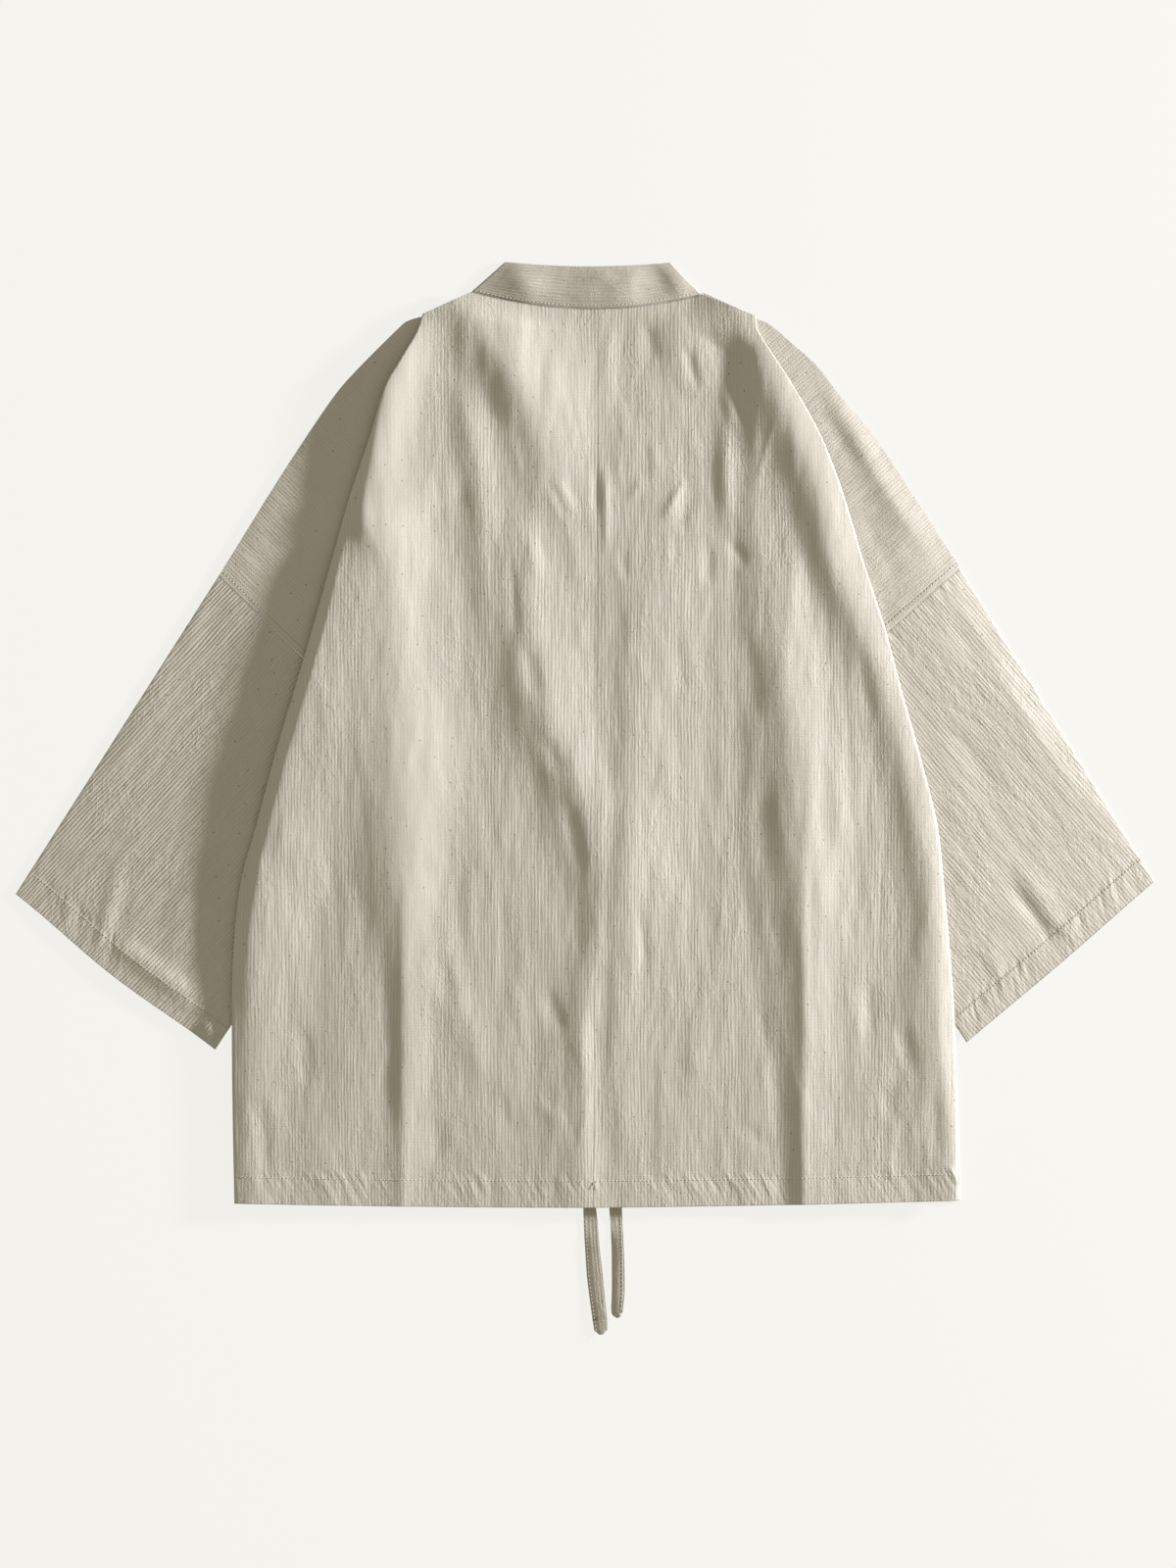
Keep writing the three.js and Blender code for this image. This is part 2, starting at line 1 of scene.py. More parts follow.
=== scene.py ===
# %% [markdown]
# # A kimono-style jacket of slubbed cotton and linen, laid face down
#
# The jacket lies flat with its back up and its arms drawn down. This lesson builds its cloth, its
# sewing and its light, one piece at a time, in the same frame as the plain solids: X runs across
# the back, Y from the hem to the collar and Z up. Lengths are in millimetres until a mesh is made.

# %% Open the frame
import math

import bpy
import numpy as np
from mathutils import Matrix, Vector


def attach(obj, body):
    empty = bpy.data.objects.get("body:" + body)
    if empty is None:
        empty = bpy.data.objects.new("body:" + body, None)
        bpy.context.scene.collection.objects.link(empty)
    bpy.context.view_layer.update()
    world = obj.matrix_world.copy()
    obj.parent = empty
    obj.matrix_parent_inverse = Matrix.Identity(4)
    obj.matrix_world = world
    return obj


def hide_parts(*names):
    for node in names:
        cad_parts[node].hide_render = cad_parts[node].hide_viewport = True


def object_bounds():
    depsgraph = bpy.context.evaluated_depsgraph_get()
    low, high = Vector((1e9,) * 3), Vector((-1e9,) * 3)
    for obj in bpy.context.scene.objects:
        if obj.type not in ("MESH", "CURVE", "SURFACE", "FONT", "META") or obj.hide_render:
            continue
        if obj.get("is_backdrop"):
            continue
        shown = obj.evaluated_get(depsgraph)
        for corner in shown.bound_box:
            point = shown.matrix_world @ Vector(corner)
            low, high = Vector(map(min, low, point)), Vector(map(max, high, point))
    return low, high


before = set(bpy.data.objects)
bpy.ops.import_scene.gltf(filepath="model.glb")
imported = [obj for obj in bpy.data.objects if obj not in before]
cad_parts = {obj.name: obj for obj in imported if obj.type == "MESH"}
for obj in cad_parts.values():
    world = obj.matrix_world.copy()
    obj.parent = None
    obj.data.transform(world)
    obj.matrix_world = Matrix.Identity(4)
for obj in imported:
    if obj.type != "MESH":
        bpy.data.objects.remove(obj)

bounds_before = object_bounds()
MM = 0.001
print("solids", len(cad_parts), "box", bounds_before)

# %% [markdown]
# ## The camera
#
# A garment that is laid out is looked at from straight above, from far enough away that its layers
# don't slide past each other. The camera stands first, because everything is judged through it.

# %% Camera
VIEW_CENTRE = (2.4, 11.9)  # mm
VIEW_HEIGHT = 1296.0  # mm of floor from the top of the frame to its bottom
LENS, SENSOR = 150.0, 36.0

camera_data = bpy.data.cameras.new("camera")
camera_data.sensor_fit = "VERTICAL"
camera_data.sensor_height = SENSOR
camera_data.lens = LENS
camera_data.clip_end = 40.0
camera = bpy.data.objects.new("camera", camera_data)
camera_height = VIEW_HEIGHT * MM * LENS / SENSOR
camera.location = (VIEW_CENTRE[0] * MM, VIEW_CENTRE[1] * MM, camera_height)
bpy.context.scene.collection.objects.link(camera)
bpy.context.scene.camera = camera
print("camera stands", round(camera_height, 3), "m above the floor")

# %% [markdown]
# ## Layers
#
# Cloth that lies on cloth is a stack of thin sheets. Each level is one sheet and a little air. At
# the side of the body, from the floor up, lie the front, the front's turned-under pleat, the two
# layers of the arm, the back's pleat and the back.

# %% Layers and sizes
CLOTH = 0.7  # a sheet's thickness
LAYER = 1.3  # from one level to the next
REST = 0.3  # the lowest sheet lies on its own stitches
LEVEL = {"frontBody": 0, "frontPleat": 1, "frontArm": 2, "backArm": 3, "backPleat": 4.2, "backBody": 5.2}
NECK_LEVEL, BLADE_LEVEL, CENTRE_LEVEL, TIE_LEVEL = 1, 2.2, 4.0, 1

HEM_Y, HEM_DIP, HEM_HALF_WIDTH = -334.5, 3.5, 300.0
NECK_Y, NECK_MIDDLE_X, NECK_RISE, NECK_HALF_WIDTH = 404.5, 5.0, 14.0, 100.0
BAND_TOP_Y, BAND_TOP_RISE, BAND_TOP_HALF_WIDTH = 439.5, 3.5, 70.0
CENTRE_TOP_X, CENTRE_HEM_X = 10.5, 6.5
PLEAT_CAUGHT = 4.0  # where the shoulder seam catches the pleat, from the turn
SLEEVE_FULLNESS = 1.2
FRONT_SET_BACK = 1.0  # the front's folded edge, inside the back's
PEEK_FROM_Y, PEEK_TO_Y = -235.0, -265.0  # where a front shows past the back
NECK_FALL, BLADE_FALL, NECK_CALM = 90.0, 250.0, 22.0
STEP_INSIDE_FROM, STEP_INSIDE_TO = 32.0, 8.0  # the back's step, measured in from the folded edge
SPREAD_FROM_Y, SPREAD_TO_Y = 355.0, 395.0
YOKE_FROM_Y, YOKE_TO_Y, YOKE_STOP_SHARE = 225.0, 300.0, 0.28
DEEPEST_WRINKLE = -1.0
SIDE_SEAM_CLOSES = 0.2
SEAM_GAP = 0.2  # between two pieces' edges at a seam
CENTRE_GAP = 0.1
SPLIT = 10 / 24  # share of the panel's length that carries the arm
HEM_FOLD = 22.0  # depth of the turned hem and cuffs

# Points are (x, y). arm_ says where an arm comes down outside the body, step_ and yoke_ how the back
# steps up on to the folded side, and drawn how tight a sleeve's cloth is. Less than 0 is slack.
SIDES = {
    "left": dict(
        sign=-1, neck=(-94, 418.5), pivot=(-134, 400.5), shoulder_end=(-303, 183.5),
        underarm=(-146, 32), pleat_end=(-135, 36), seam_hem=(-178, -333), hem=(-289.5, HEM_Y),
        cuff_top=(-470.5, -79), cuff_under=(-305.5, -207.5), cuff_bow=4.0, band_top=(-66, 443),
        arm_flat=3.0, arm_run=28.0, drawn=-1.3, step_from=12.0, step_to=-26.0, step_spread=0.0,
        yoke_spread=105.0, band_seam_hem_x=-29.0, band_free_hem_x=6.5, front_peek=0.0,
    ),
    "right": dict(
        sign=1, neck=(96.5, 419.5), pivot=(141, 398.5), shoulder_end=(310, 190),
        underarm=(150, 50), pleat_end=(139, 54), seam_hem=(182, -331), hem=(308.3, HEM_Y + 2.5),
        cuff_top=(470.5, -68.5), cuff_under=(315, -201.5), cuff_bow=1.0, band_top=(70.5, 442),
        arm_flat=6.0, arm_run=100.0, drawn=-0.1, step_from=20.0, step_to=-2.0, step_spread=28.0,
        yoke_spread=0.0, band_seam_hem_x=45.0, band_free_hem_x=9.5, front_peek=2.6,
    ),
}

# The outline of the dropped shoulder, from the pivot to the armhole.
SHOULDER = {
    "left": [(-146, 394.5), (-155.5, 387), (-191, 351.5), (-210.5, 328), (-246, 275), (-274.5, 229.5)],
    "right": [(152, 391.5), (171.5, 375), (191, 357.5), (210, 333), (238, 299.5), (267, 256.5)],
}

# The folded edge down each side of the body: y, left x, right x.
EDGE_COLUMN = {"left": 1, "right": 2}
BODY_EDGE = [
    (385, -139, 143.5), (365, -150.5, 156), (340, -164.8, 172), (300, -177, 194.3),
    (250, -194, 213.5), (195, -209.5, 230), (140, -225, 247.8), (90, -239.8, 261),
    (40, -254.8, 275.2), (-20, -270.8, 290.3), (-70, -284.5, 296), (-130, -290.5, 301.5),
    (-190, -291.6, 305.4), (-260, -291, 306.7),
]
print("levels", {name: round(level * LAYER + REST + CLOTH / 2, 2) for name, level in LEVEL.items()})

# %% [markdown]
# ## The folds of the back
#
# The arms were drawn down after the jacket was laid out, so the back pulls into long soft folds
# from the shoulders to the hem. Each fold is a crest: at height y it stands at x, rises by rise, and
# dies away over left and right. Two of them end in sharp creases that an iron left.

# %% Long folds
FOLDS = {  # y, x, left, right, rise
    "left crest": [
        (398, -138, 10, 16, 0), (384, -146, 12, 18, 3.6), (360, -157, 13, 23, 6.4),
        (336, -165, 13, 25, 7), (303, -171, 13, 26, 6.8), (271, -177, 13, 29, 6.6),
        (230, -182, 14, 37, 6.8), (190, -162, 24, 32, 2.8), (141, -153, 36, 26, 3),
        (93, -149, 40, 28, 3.8), (44, -148, 48, 36, 6.2), (-4, -148, 48, 36, 6.2),
        (-53, -147, 44, 28, 5.4), (-101, -147, 22, 16, 4.4), (-150, -146, 16, 18, 4.3),
        (-198, -147, 14, 18, 3), (-247, -149, 13, 14, 2), (-345, -151, 16, 14, 0.7),
    ],
    "left edge": [
        (250, -190, 9, 30, 0), (220, -195, 9, 46, 2.5), (190, -203, 9, 56, 6.8),
        (141, -214, 10, 68, 7.6), (93, -228, 10, 72, 8), (44, -243, 10, 70, 8.2),
        (-4, -256, 10, 64, 7.8), (-53, -267, 10, 52, 6.8), (-101, -275, 11, 36, 5),
        (-150, -277, 12, 28, 3.2), (-220, -278, 12, 22, 2), (-345, -278, 12, 22, 1.8),
    ],
    "left fork": [
        (-60, -140, 16, 20, 0), (-100, -130, 18, 20, 1), (-150, -116, 18, 18, 1.4),
        (-182, -101, 18, 14, 1.5), (-215, -91, 14, 14, 1), (-245, -86, 12, 16, 0),
    ],
    "shoulder blade": [
        (404, -92, 22, 60, 2), (385, -80, 28, 64, 5), (372, -72, 31, 60, 6.4),
        (336, -49, 31, 42, 7), (303, -36, 25, 30, 5.2), (271, -33, 20, 24, 3),
        (245, -34, 15, 20, 1.2), (225, -34, 14, 20, 0),
    ],
    "left streak": [
        (350, -104, 11, 14, 0), (330, -100, 11, 16, 1.6), (303, -94, 12, 16, 2.6),
        (271, -88, 12, 16, 2.4), (206, -85, 12, 16, 1.8), (170, -84, 12, 16, 1),
        (120, -84, 12, 16, 0),
    ],
    "middle": [
        (240, -58, 14, 18, 1), (190, -54, 20, 22, 2.6), (141, -50, 24, 28, 3.6),
        (93, -42, 28, 38, 5), (44, -22, 30, 34, 5.4), (-4, 2, 28, 26, 4.8), (-69, 12, 20, 16, 3.4),
        (-110, 11, 16, 14, 2.4), (-150, 5, 16, 12, 2.2), (-198, -4, 18, 11, 2.8),
        (-260, -3, 22, 10, 2.8), (-300, -2, 22, 10, 2.2), (-345, 0, 20, 12, 1.2),
    ],
    "right of centre": [
        (5, 37, 8, 20, 0), (-28, 35, 9, 22, 1.8), (-69, 32, 10, 22, 2.2),
        (-150, 27, 9, 20, 1.7), (-230, 22, 8, 18, 0.8), (-300, 20, 8, 18, 0),
    ],
    "right middle": [
        (230, 44, 20, 34, 0), (170, 44, 20, 34, 1.6), (93, 43, 20, 36, 2.2), (40, 42, 20, 38, 2.4),
        (-4, 41, 20, 38, 2.6), (-53, 38, 18, 36, 2), (-110, 42, 16, 34, 1), (-160, 46, 16, 34, 0),
    ],
    "right inner": [
        (345, 122, 8, 10, 0), (322, 119, 9, 10, 1.2), (303, 118, 9, 10, 1.8),
        (271, 117, 9, 11, 2.4), (247, 118, 9, 12, 1.8), (225, 122, 10, 12, 0.8),
        (205, 126, 10, 12, 0),
    ],
    "right shoulder": [
        (412, 82, 30, 26, 2), (390, 86, 34, 26, 3.4), (370, 89, 30, 24, 3), (350, 93, 24, 20, 1.6),
        (330, 97, 20, 18, 0),
    ],
    "right crest": [
        (404, 134, 12, 10, 0), (392, 139, 14, 14, 1.6), (372, 146, 18, 20, 3.2),
        (336, 160, 22, 28, 5), (303, 173, 24, 30, 5.4), (271, 186, 24, 30, 5.5),
        (230, 198, 22, 26, 5.2), (190, 207, 18, 22, 4.2), (141, 225, 17, 22, 3.2),
        (93, 246, 20, 20, 2.7), (44, 260, 16, 19, 2.9), (-4, 273, 16, 19, 3),
        (-53, 282, 17, 17, 3.2), (-101, 288, 20, 14, 3.6), (-150, 289, 24, 13, 3.6),
        (-198, 291, 28, 12, 3.4), (-247, 296, 32, 12, 3), (-300, 300, 30, 12, 2.4),
        (-345, 300, 20, 12, 1.4),
    ],
    "right ridge": [
        (235, 168, 10, 8, 0), (212, 170, 12, 8, 0.9), (190, 170, 20, 9, 1.6), (165, 166, 24, 14, 2),
        (141, 163, 24, 22, 2.5), (93, 165, 24, 25, 3.3), (44, 173, 25, 27, 4),
        (-4, 175, 25, 29, 4.4), (-69, 178, 23, 28, 4.6), (-120, 180, 18, 26, 3.8),
        (-170, 180, 14, 22, 2.7), (-230, 180, 11, 20, 1.8), (-345, 180, 9, 18, 1.1),
    ],
    "left pressed crease": [
        (-40, -150, 4, 5, 0), (-110, -151, 4, 5, 0.7), (-345, -151.5, 4, 5, 0.6),
    ],
    "right pressed crease": [
        (-10, 181, 4, 5, 0), (-90, 180.5, 4, 5, 0.6), (-345, 180, 4, 5, 0.7),
    ],
}
FOLD_SMOOTHING = 9.0  # mm over which a fold's table is rounded

# %% [markdown]
# Short wrinkles lie between the long folds. Each is a soft ridge from one point to another, with its
# half width and its rise, and a minus sign makes it a trough.

# %% Short wrinkles
WRINKLES = [
    # from, to, half width, rise
    ((-23, 262), (-7, 232), 4.0, 0.7), ((-33, 258), (-20, 228), 4.0, 0.5),
    ((16.5, 272), (17.5, 205), 3.4, 1.1), ((8.5, 275), (9, 228), 2.6, -0.7),
    ((37, 246), (48, 264), 4.0, 0.7), ((65, 231), (82, 262), 4.2, 1.0),
    ((75, 224), (92, 252), 4.0, -0.5), ((30, 206), (34, 180), 3.6, -0.7),
    ((55, 300), (62, 262), 5.0, 0.5), ((28, 330), (34, 292), 5.0, 0.4),
    ((-44, 218), (-41, 180), 6.0, 0.9), ((-60, 196), (-57, 128), 5.0, -0.9),
    ((-49, 128), (-40, 80), 6.0, -1.2), ((-33, 52), (-22, 20), 5.5, -0.9),
    ((-4, 148), (-4, 120), 5.0, 0.5), ((-14, -4), (-3, -60), 6.0, -1.1),
    ((157, 313), (140, 255), 3.2, 0.5), ((115, 338), (128, 300), 5.0, 0.8),
    ((120, 214), (134, 190), 5.0, -0.7), ((100, 212), (104, 176), 6.0, -0.8),
    ((52, 392), (56, 360), 6.0, -0.9), ((20, 388), (18, 340), 5.0, 0.4),
    ((84, 372), (92, 338), 4.5, -0.9), ((-60, 300), (-54, 262), 4.0, 0.4),
    ((-28, 372), (-22, 320), 7.0, 0.5),
    ((136, 130), (142, 62), 8.0, -0.9), ((146, 20), (150, -60), 9.0, -0.8),
    ((206, 40), (212, -40), 8.0, 0.6), ((228, 120), (236, 60), 6.0, -0.7),
    ((46, -85), (50, -150), 5.0, -0.9), ((62, -40), (60, -110), 7.0, 0.5),
    ((-233, -190), (-226, -238), 7.0, -1.0), ((-246, -10), (-250, -48), 7.0, 0.8),
    ((-206, -36), (-214, -88), 7.0, -0.5), ((-196, -70), (-190, -118), 6.0, 0.5),
    ((-124, -128), (-112, -170), 8.0, -0.7), ((-96, -60), (-92, -128), 8.0, 0.5),
    ((-30, -160), (-18, -196), 6.0, -0.9), ((-14, -196), (-8, -290), 8.0, -1.3),
    ((-60, -150), (-52, -196), 6.0, 0.5), ((-72, -240), (-60, -282), 7.0, -0.6),
    ((-124, -262), (-122, -300), 6.0, -0.6), ((-40, -250), (-20, -268), 6.0, 0.5),
    ((88, -208), (96, -230), 6.0, 0.5), ((106, -170), (120, -150), 6.0, -0.4),
    ((146, -170), (148, -214), 7.0, -0.6), ((232, -150), (236, -196), 7.0, -0.7),
    ((262, -186), (270, -232), 7.0, -0.9), ((246, -236), (254, -268), 6.0, -0.7),
    ((286, -240), (292, -300), 6.0, -0.8), ((-268, -250), (-262, -316), 6.0, -0.9),
    ((130, -270), (156, -292), 6.0, -0.5), ((30, -246), (34, -300), 7.0, 0.4),
]

# The dropped shoulders and sleeves are smoother: from, to, half width, rise.
ARM_WRINKLES = [
    ((-206, 339), (-250, 268), 10, 0.8), ((-250, 268), (-284, 202), 10, 0.6),
    ((199, 338), (248, 272), 13, 1.5), ((248, 272), (286, 204), 14, 1.3),
    ((186, 345), (228, 268), 10, -0.7), ((222, 236), (262, 176), 9, -0.6),
    ((-384, -54), (-404, -128), 6, 0.9), ((-374, -60), (-392, -130), 7, -0.5),
    ((-300, 170), (-318, 128), 8, -0.6), ((-272, 140), (-300, 70), 9, 0.5),
    ((-352, 96), (-404, 10), 12, 0.6), ((-330, -60), (-338, -150), 12, 0.7),
    ((-290, -130), (-300, -176), 9, 0.9), ((346, -64), (392, -126), 6, -1.0),
    ((358, -58), (404, -120), 8, 0.7), ((332, 120), (392, 30), 14, 0.7),
    ((306, 60), (352, -26), 12, -0.5), ((330, -120), (352, -160), 8, 0.6),
    ((300, 150), (330, 108), 9, -0.5), ((420, 10), (446, -44), 10, 0.5),
    ((262, 222), (436, -66), 36, 1.1), ((205, 345), (268, 212), 11, 1.1),
    ((-398, -112), (-314, -174), 9, 1.9), ((-316, -184), (-302, -202), 8, 2.6),
]
print("long folds", len(FOLDS), "short wrinkles", len(WRINKLES) + len(ARM_WRINKLES))

# %% [markdown]
# ## Drawing helpers
#
# A smooth line passes through a few points, and a patch fills four such lines. Both are measured by
# length, so that the grid of a panel is even and its ribs stay evenly spaced.

# %% Helpers
SPLINE_STEPS = 40
NOISE_SIZE = 256  # cells of random values before the noise repeats


def smoothstep(value, start, end):
    share = np.clip((value - start) / (end - start), 0, 1)
    return share * share * (3 - 2 * share)


def spline(*points):
    """A smooth line through points, as a function of the share of its length."""
    p = np.array(points, float)
    padded = np.vstack([p[:1], p, p[-1:]])
    t = np.linspace(0, 1, SPLINE_STEPS + 1)[:-1, None]
    parts = []
    for a, b, c, d in zip(padded, padded[1:], padded[2:], padded[3:]):
        v0, v1 = (c - a) / 2, (d - b) / 2
        cubic, square = 2 * b - 2 * c + v0 + v1, 3 * c - 3 * b - 2 * v0 - v1
        parts.append(cubic * t**3 + square * t**2 + v0 * t + b)
    dense = np.vstack(parts + [p[-1:]])
    length = np.r_[0, np.cumsum(np.linalg.norm(np.diff(dense, axis=0), axis=1))]

    def at(share):
        where = np.clip(np.asarray(share, float), 0, 1) * length[-1]
        return np.stack([np.interp(where, length, dense[:, k]) for k in range(dense.shape[1])], -1)

    return at


def joined(first, second, split):
    """Two lines end to end: the first takes the share split."""
    def at(share):
        share = np.asarray(share, float)
        early = (share <= split)[..., None]
        return np.where(early, first(share / split), second((share - split) / (1 - split)))

    return at


def patch(top, bottom, inner, outer, u, v):
    """The grid inside four lines, rows down v and columns along u."""
    along, down = u[None, :, None], v[:, None, None]
    grid = top(u)[None] * (1 - down) + bottom(u)[None] * down
    grid = grid + inner(v)[:, None] * (1 - along) + outer(v)[:, None] * along
    grid = grid - top(0.0) * (1 - along) * (1 - down) - top(1.0) * along * (1 - down)
    return grid - bottom(0.0) * (1 - along) * down - bottom(1.0) * along * down


def lattice_noise(x, y, size_x, size_y, seed):
    """Smooth noise from -1 to 1 whose lumps are about size_x by size_y."""
    rng = np.random.default_rng(seed)
    table = rng.uniform(-1, 1, (NOISE_SIZE, NOISE_SIZE))
    gx, gy = np.asarray(x) / size_x + 1000.5, np.asarray(y) / size_y + 1000.5
    ix, iy = np.floor(gx).astype(int), np.floor(gy).astype(int)
    fx, fy = gx - ix, gy - iy
    fx, fy = (f * f * f * (f * (6 * f - 15) + 10) for f in (fx, fy))
    corner = lambda i, j: table[(ix + i) % NOISE_SIZE, (iy + j) % NOISE_SIZE]
    near = corner(0, 0) * (1 - fx) + corner(1, 0) * fx
    far = corner(0, 1) * (1 - fx) + corner(1, 1) * fx
    return near * (1 - fy) + far * fy


TAPER_IN, TAPER_OUT = (-0.15, 0.35), (-1.15, -0.6)  # shares of a wrinkle's length


def soft_lines(x, y, table):
    """The relief of a table of wrinkles, each dying away at its ends."""
    relief = np.zeros(np.shape(x))
    for start, end, width, rise in table:
        a, b = np.array(start, float), np.array(end, float)
        along = b - a
        share = ((x - a[0]) * along[0] + (y - a[1]) * along[1]) / (along @ along)
        reach = np.clip(share, 0, 1)
        away = np.hypot(x - a[0] - reach * along[0], y - a[1] - reach * along[1])
        taper = smoothstep(share, *TAPER_IN) * smoothstep(-share, *TAPER_OUT)
        relief += rise * taper * np.exp(-((away / width) ** 2))
    return relief


def smoothed_columns(rows, smoothing):
    """A table's columns over y, rounded where its rows meet and run on straight at its ends."""
    table = np.array(rows, float)[::-1]
    y = np.arange(table[0, 0], table[-1, 0] + 1)
    step = np.arange(-3 * smoothing, 3 * smoothing + 1)
    weight = np.exp(-0.5 * (step / smoothing) ** 2)
    weight /= weight.sum()
    pad = len(step) // 2
    columns = []
    for k in range(1, table.shape[1]):
        values = np.interp(y, table[:, 0], table[:, k])
        head = values[0] + (values[0] - values[1:pad + 1])[::-1]
        tail = values[-1] + (values[-1] - values[-pad - 1:-1])[::-1]
        columns.append(np.convolve(np.r_[head, values, tail], weight, "valid"))
    return y, columns


fold_profiles = {name: smoothed_columns(rows, FOLD_SMOOTHING) for name, rows in FOLDS.items()}


def long_folds(x, y):
    """The relief of all the long folds at each point."""
    relief = np.zeros(np.shape(x))
    for heights, (middle, left, right, rise) in fold_profiles.values():
        at = np.interp(y, heights, middle)
        reach = np.where(x < at, np.interp(y, heights, left), np.interp(y, heights, right))
        relief += np.maximum(np.interp(y, heights, rise), 0) * np.exp(-(((x - at) / reach) ** 2))
    return relief


# The rise at which a fold's cloth is fully tight, and how far that reaches to each side.
DRAWN_FOLDS = {"left crest": 6.0, "right crest": 6.0, "right ridge": 7.0, "shoulder blade": 8.0}
DRAWN_LEFT, DRAWN_RIGHT = 0.55, 1.3


def drawn_tight(x, y):
    """From 0 to 1, how tight the cloth is drawn over the long folds."""
    tight = np.zeros(np.shape(x))
    for name, full in DRAWN_FOLDS.items():
        heights, (middle, left, right, rise) = fold_profiles[name]
        at = np.interp(y, heights, middle)
        to_left, to_right = np.interp(y, heights, left), np.interp(y, heights, right)
        reach = np.where(x < at, DRAWN_LEFT * to_left, DRAWN_RIGHT * to_right)
        height = np.maximum(np.interp(y, heights, rise), 0)
        share = height / full * np.exp(-np.abs((x - at) / reach) ** 3)
        tight = np.maximum(tight, share)
    return np.minimum(tight, 1)


print("relief at the left shoulder:", round(float(long_folds(-163.0, 336.0)), 2), "mm")

# %% [markdown]
# ## How high each layer lies
#
# The back is low over the front opening and steps up on to the folded layers at its sides. The arms
# come down to the floor just outside the body. Linen never lies quite smooth, so a fine crumple runs
# through all of it, longer down the cloth than across it.

# %% Heights
def layer_height(level):
    return level * LAYER + REST + CLOTH / 2


def neck_y(x):
    return NECK_Y + NECK_RISE * ((x - NECK_MIDDLE_X) / NECK_HALF_WIDTH) ** 2


def band_top_y(x):
    return BAND_TOP_Y + BAND_TOP_RISE * ((x - NECK_MIDDLE_X) / BAND_TOP_HALF_WIDTH) ** 2


def centre_x(y):
    return CENTRE_TOP_X + (CENTRE_HEM_X - CENTRE_TOP_X) * (NECK_Y - y) / (NECK_Y - HEM_Y)


def hem_line(start, end):
    """The hem from start to end, bowed a little towards the feet."""
    bow = lambda x: HEM_DIP * (1 - (x / HEM_HALF_WIDTH) ** 2)

    def at(share):
        share = np.asarray(share, float)
        x = start[0] + (end[0] - start[0]) * share
        level = start[1] + (end[1] - start[1]) * share
        return np.stack([x, level - bow(x) + bow(start[0]) * (1 - share) + bow(end[0]) * share], -1)

    return at


def edge_x(side_name, y):
    side, column = SIDES[side_name], EDGE_COLUMN[side_name]
    rows = [(side["pivot"][1], side["pivot"][0])] + [(row[0], row[column]) for row in BODY_EDGE]
    rows.append((side["hem"][1], side["hem"][0]))
    table = np.array(rows, float)[::-1]
    return np.interp(y, table[:, 0], table[:, 1])


CRUMPLE = [  # across, down, depth, seed
    (26.0, 90.0, 0.32, 11), (12.0, 44.0, 0.22, 12), (6.5, 22.0, 0.11, 13),
]
ARM_CRUMPLE, ARM_LOOSE = 0.8, (2, 20)  # share of the back's crumple, and where it starts outside


def crumple(x, y, strength=1.0):
    relief = np.zeros(np.shape(x))
    for across, down, depth, seed in CRUMPLE:
        relief += depth * lattice_noise(x, y, across, down, seed)
    return strength * relief


def back_height(x, y):
    """Middle of the back's cloth."""
    left = x < centre_x(y)
    own = lambda value: np.where(left, value(SIDES["left"]), value(SIDES["right"]))
    pivot, seam = own(lambda side: side["pivot"][0]), own(lambda side: side["seam_hem"][0])
    inner = np.abs(pivot + (seam - pivot) * smoothstep(-y, 0, -HEM_Y))
    below_neck = neck_y(x) - y
    low = NECK_LEVEL + (BLADE_LEVEL - NECK_LEVEL) * smoothstep(below_neck, 0, NECK_FALL)
    low = low + (CENTRE_LEVEL - BLADE_LEVEL) * smoothstep(below_neck, NECK_FALL, BLADE_FALL)
    spread = own(lambda side: side["step_spread"]) * smoothstep(y, SPREAD_FROM_Y, SPREAD_TO_Y)
    yoke = own(lambda side: side["yoke_spread"]) * smoothstep(y, YOKE_FROM_Y, YOKE_TO_Y)
    edge = np.where(left, -edge_x("left", y), edge_x("right", y))
    start = inner - own(lambda side: side["step_from"])
    start = np.minimum(start, edge - STEP_INSIDE_FROM - spread) - yoke
    stop = inner - own(lambda side: side["step_to"]) - YOKE_STOP_SHARE * yoke
    stop = np.minimum(stop, edge - STEP_INSIDE_TO)
    level = low + (LEVEL["backBody"] - low) * smoothstep(np.abs(x), start, stop)
    calm = smoothstep(below_neck, 0, NECK_CALM)
    wrinkled = soft_lines(x, y, WRINKLES) + crumple(x, y)
    return layer_height(level) + (long_folds(x, y) + np.maximum(wrinkled, DEEPEST_WRINKLE)) * calm


def arm_settled(side_name, x, y):
    """From 0 over the body's edge to 1 where the arm lies on the floor."""
    side = SIDES[side_name]
    outside = side["sign"] * (x - edge_x(side_name, y))
    return smoothstep(outside, side["arm_flat"], side["arm_flat"] + side["arm_run"])


def front_arm_height(side_name, x, y):
    fall = LEVEL["frontArm"] * LAYER * arm_settled(side_name, x, y)
    return layer_height(LEVEL["frontArm"]) - fall


def back_arm_height(side_name, x, y, across):
    inside = np.sin(np.pi * np.clip(across, 0, 1)) ** 0.8
    settled = arm_settled(side_name, x, y)
    outside = SIDES[side_name]["sign"] * (x - edge_x(side_name, y))
    relief = soft_lines(x, y, ARM_WRINKLES) + crumple(y, x, ARM_CRUMPLE)
    loose = smoothstep(outside, *ARM_LOOSE) * np.minimum(inside * 3, 1)
    below = front_arm_height(side_name, x, y) + LAYER
    return below + SLEEVE_FULLNESS * settled * inside + relief * loose


for label, spot in (("low at the neck", (7.0, 400.0)), ("high on the right", (181.0, -69.0))):
    print("the back lies", label, round(float(back_height(*spot)), 1), "mm up")

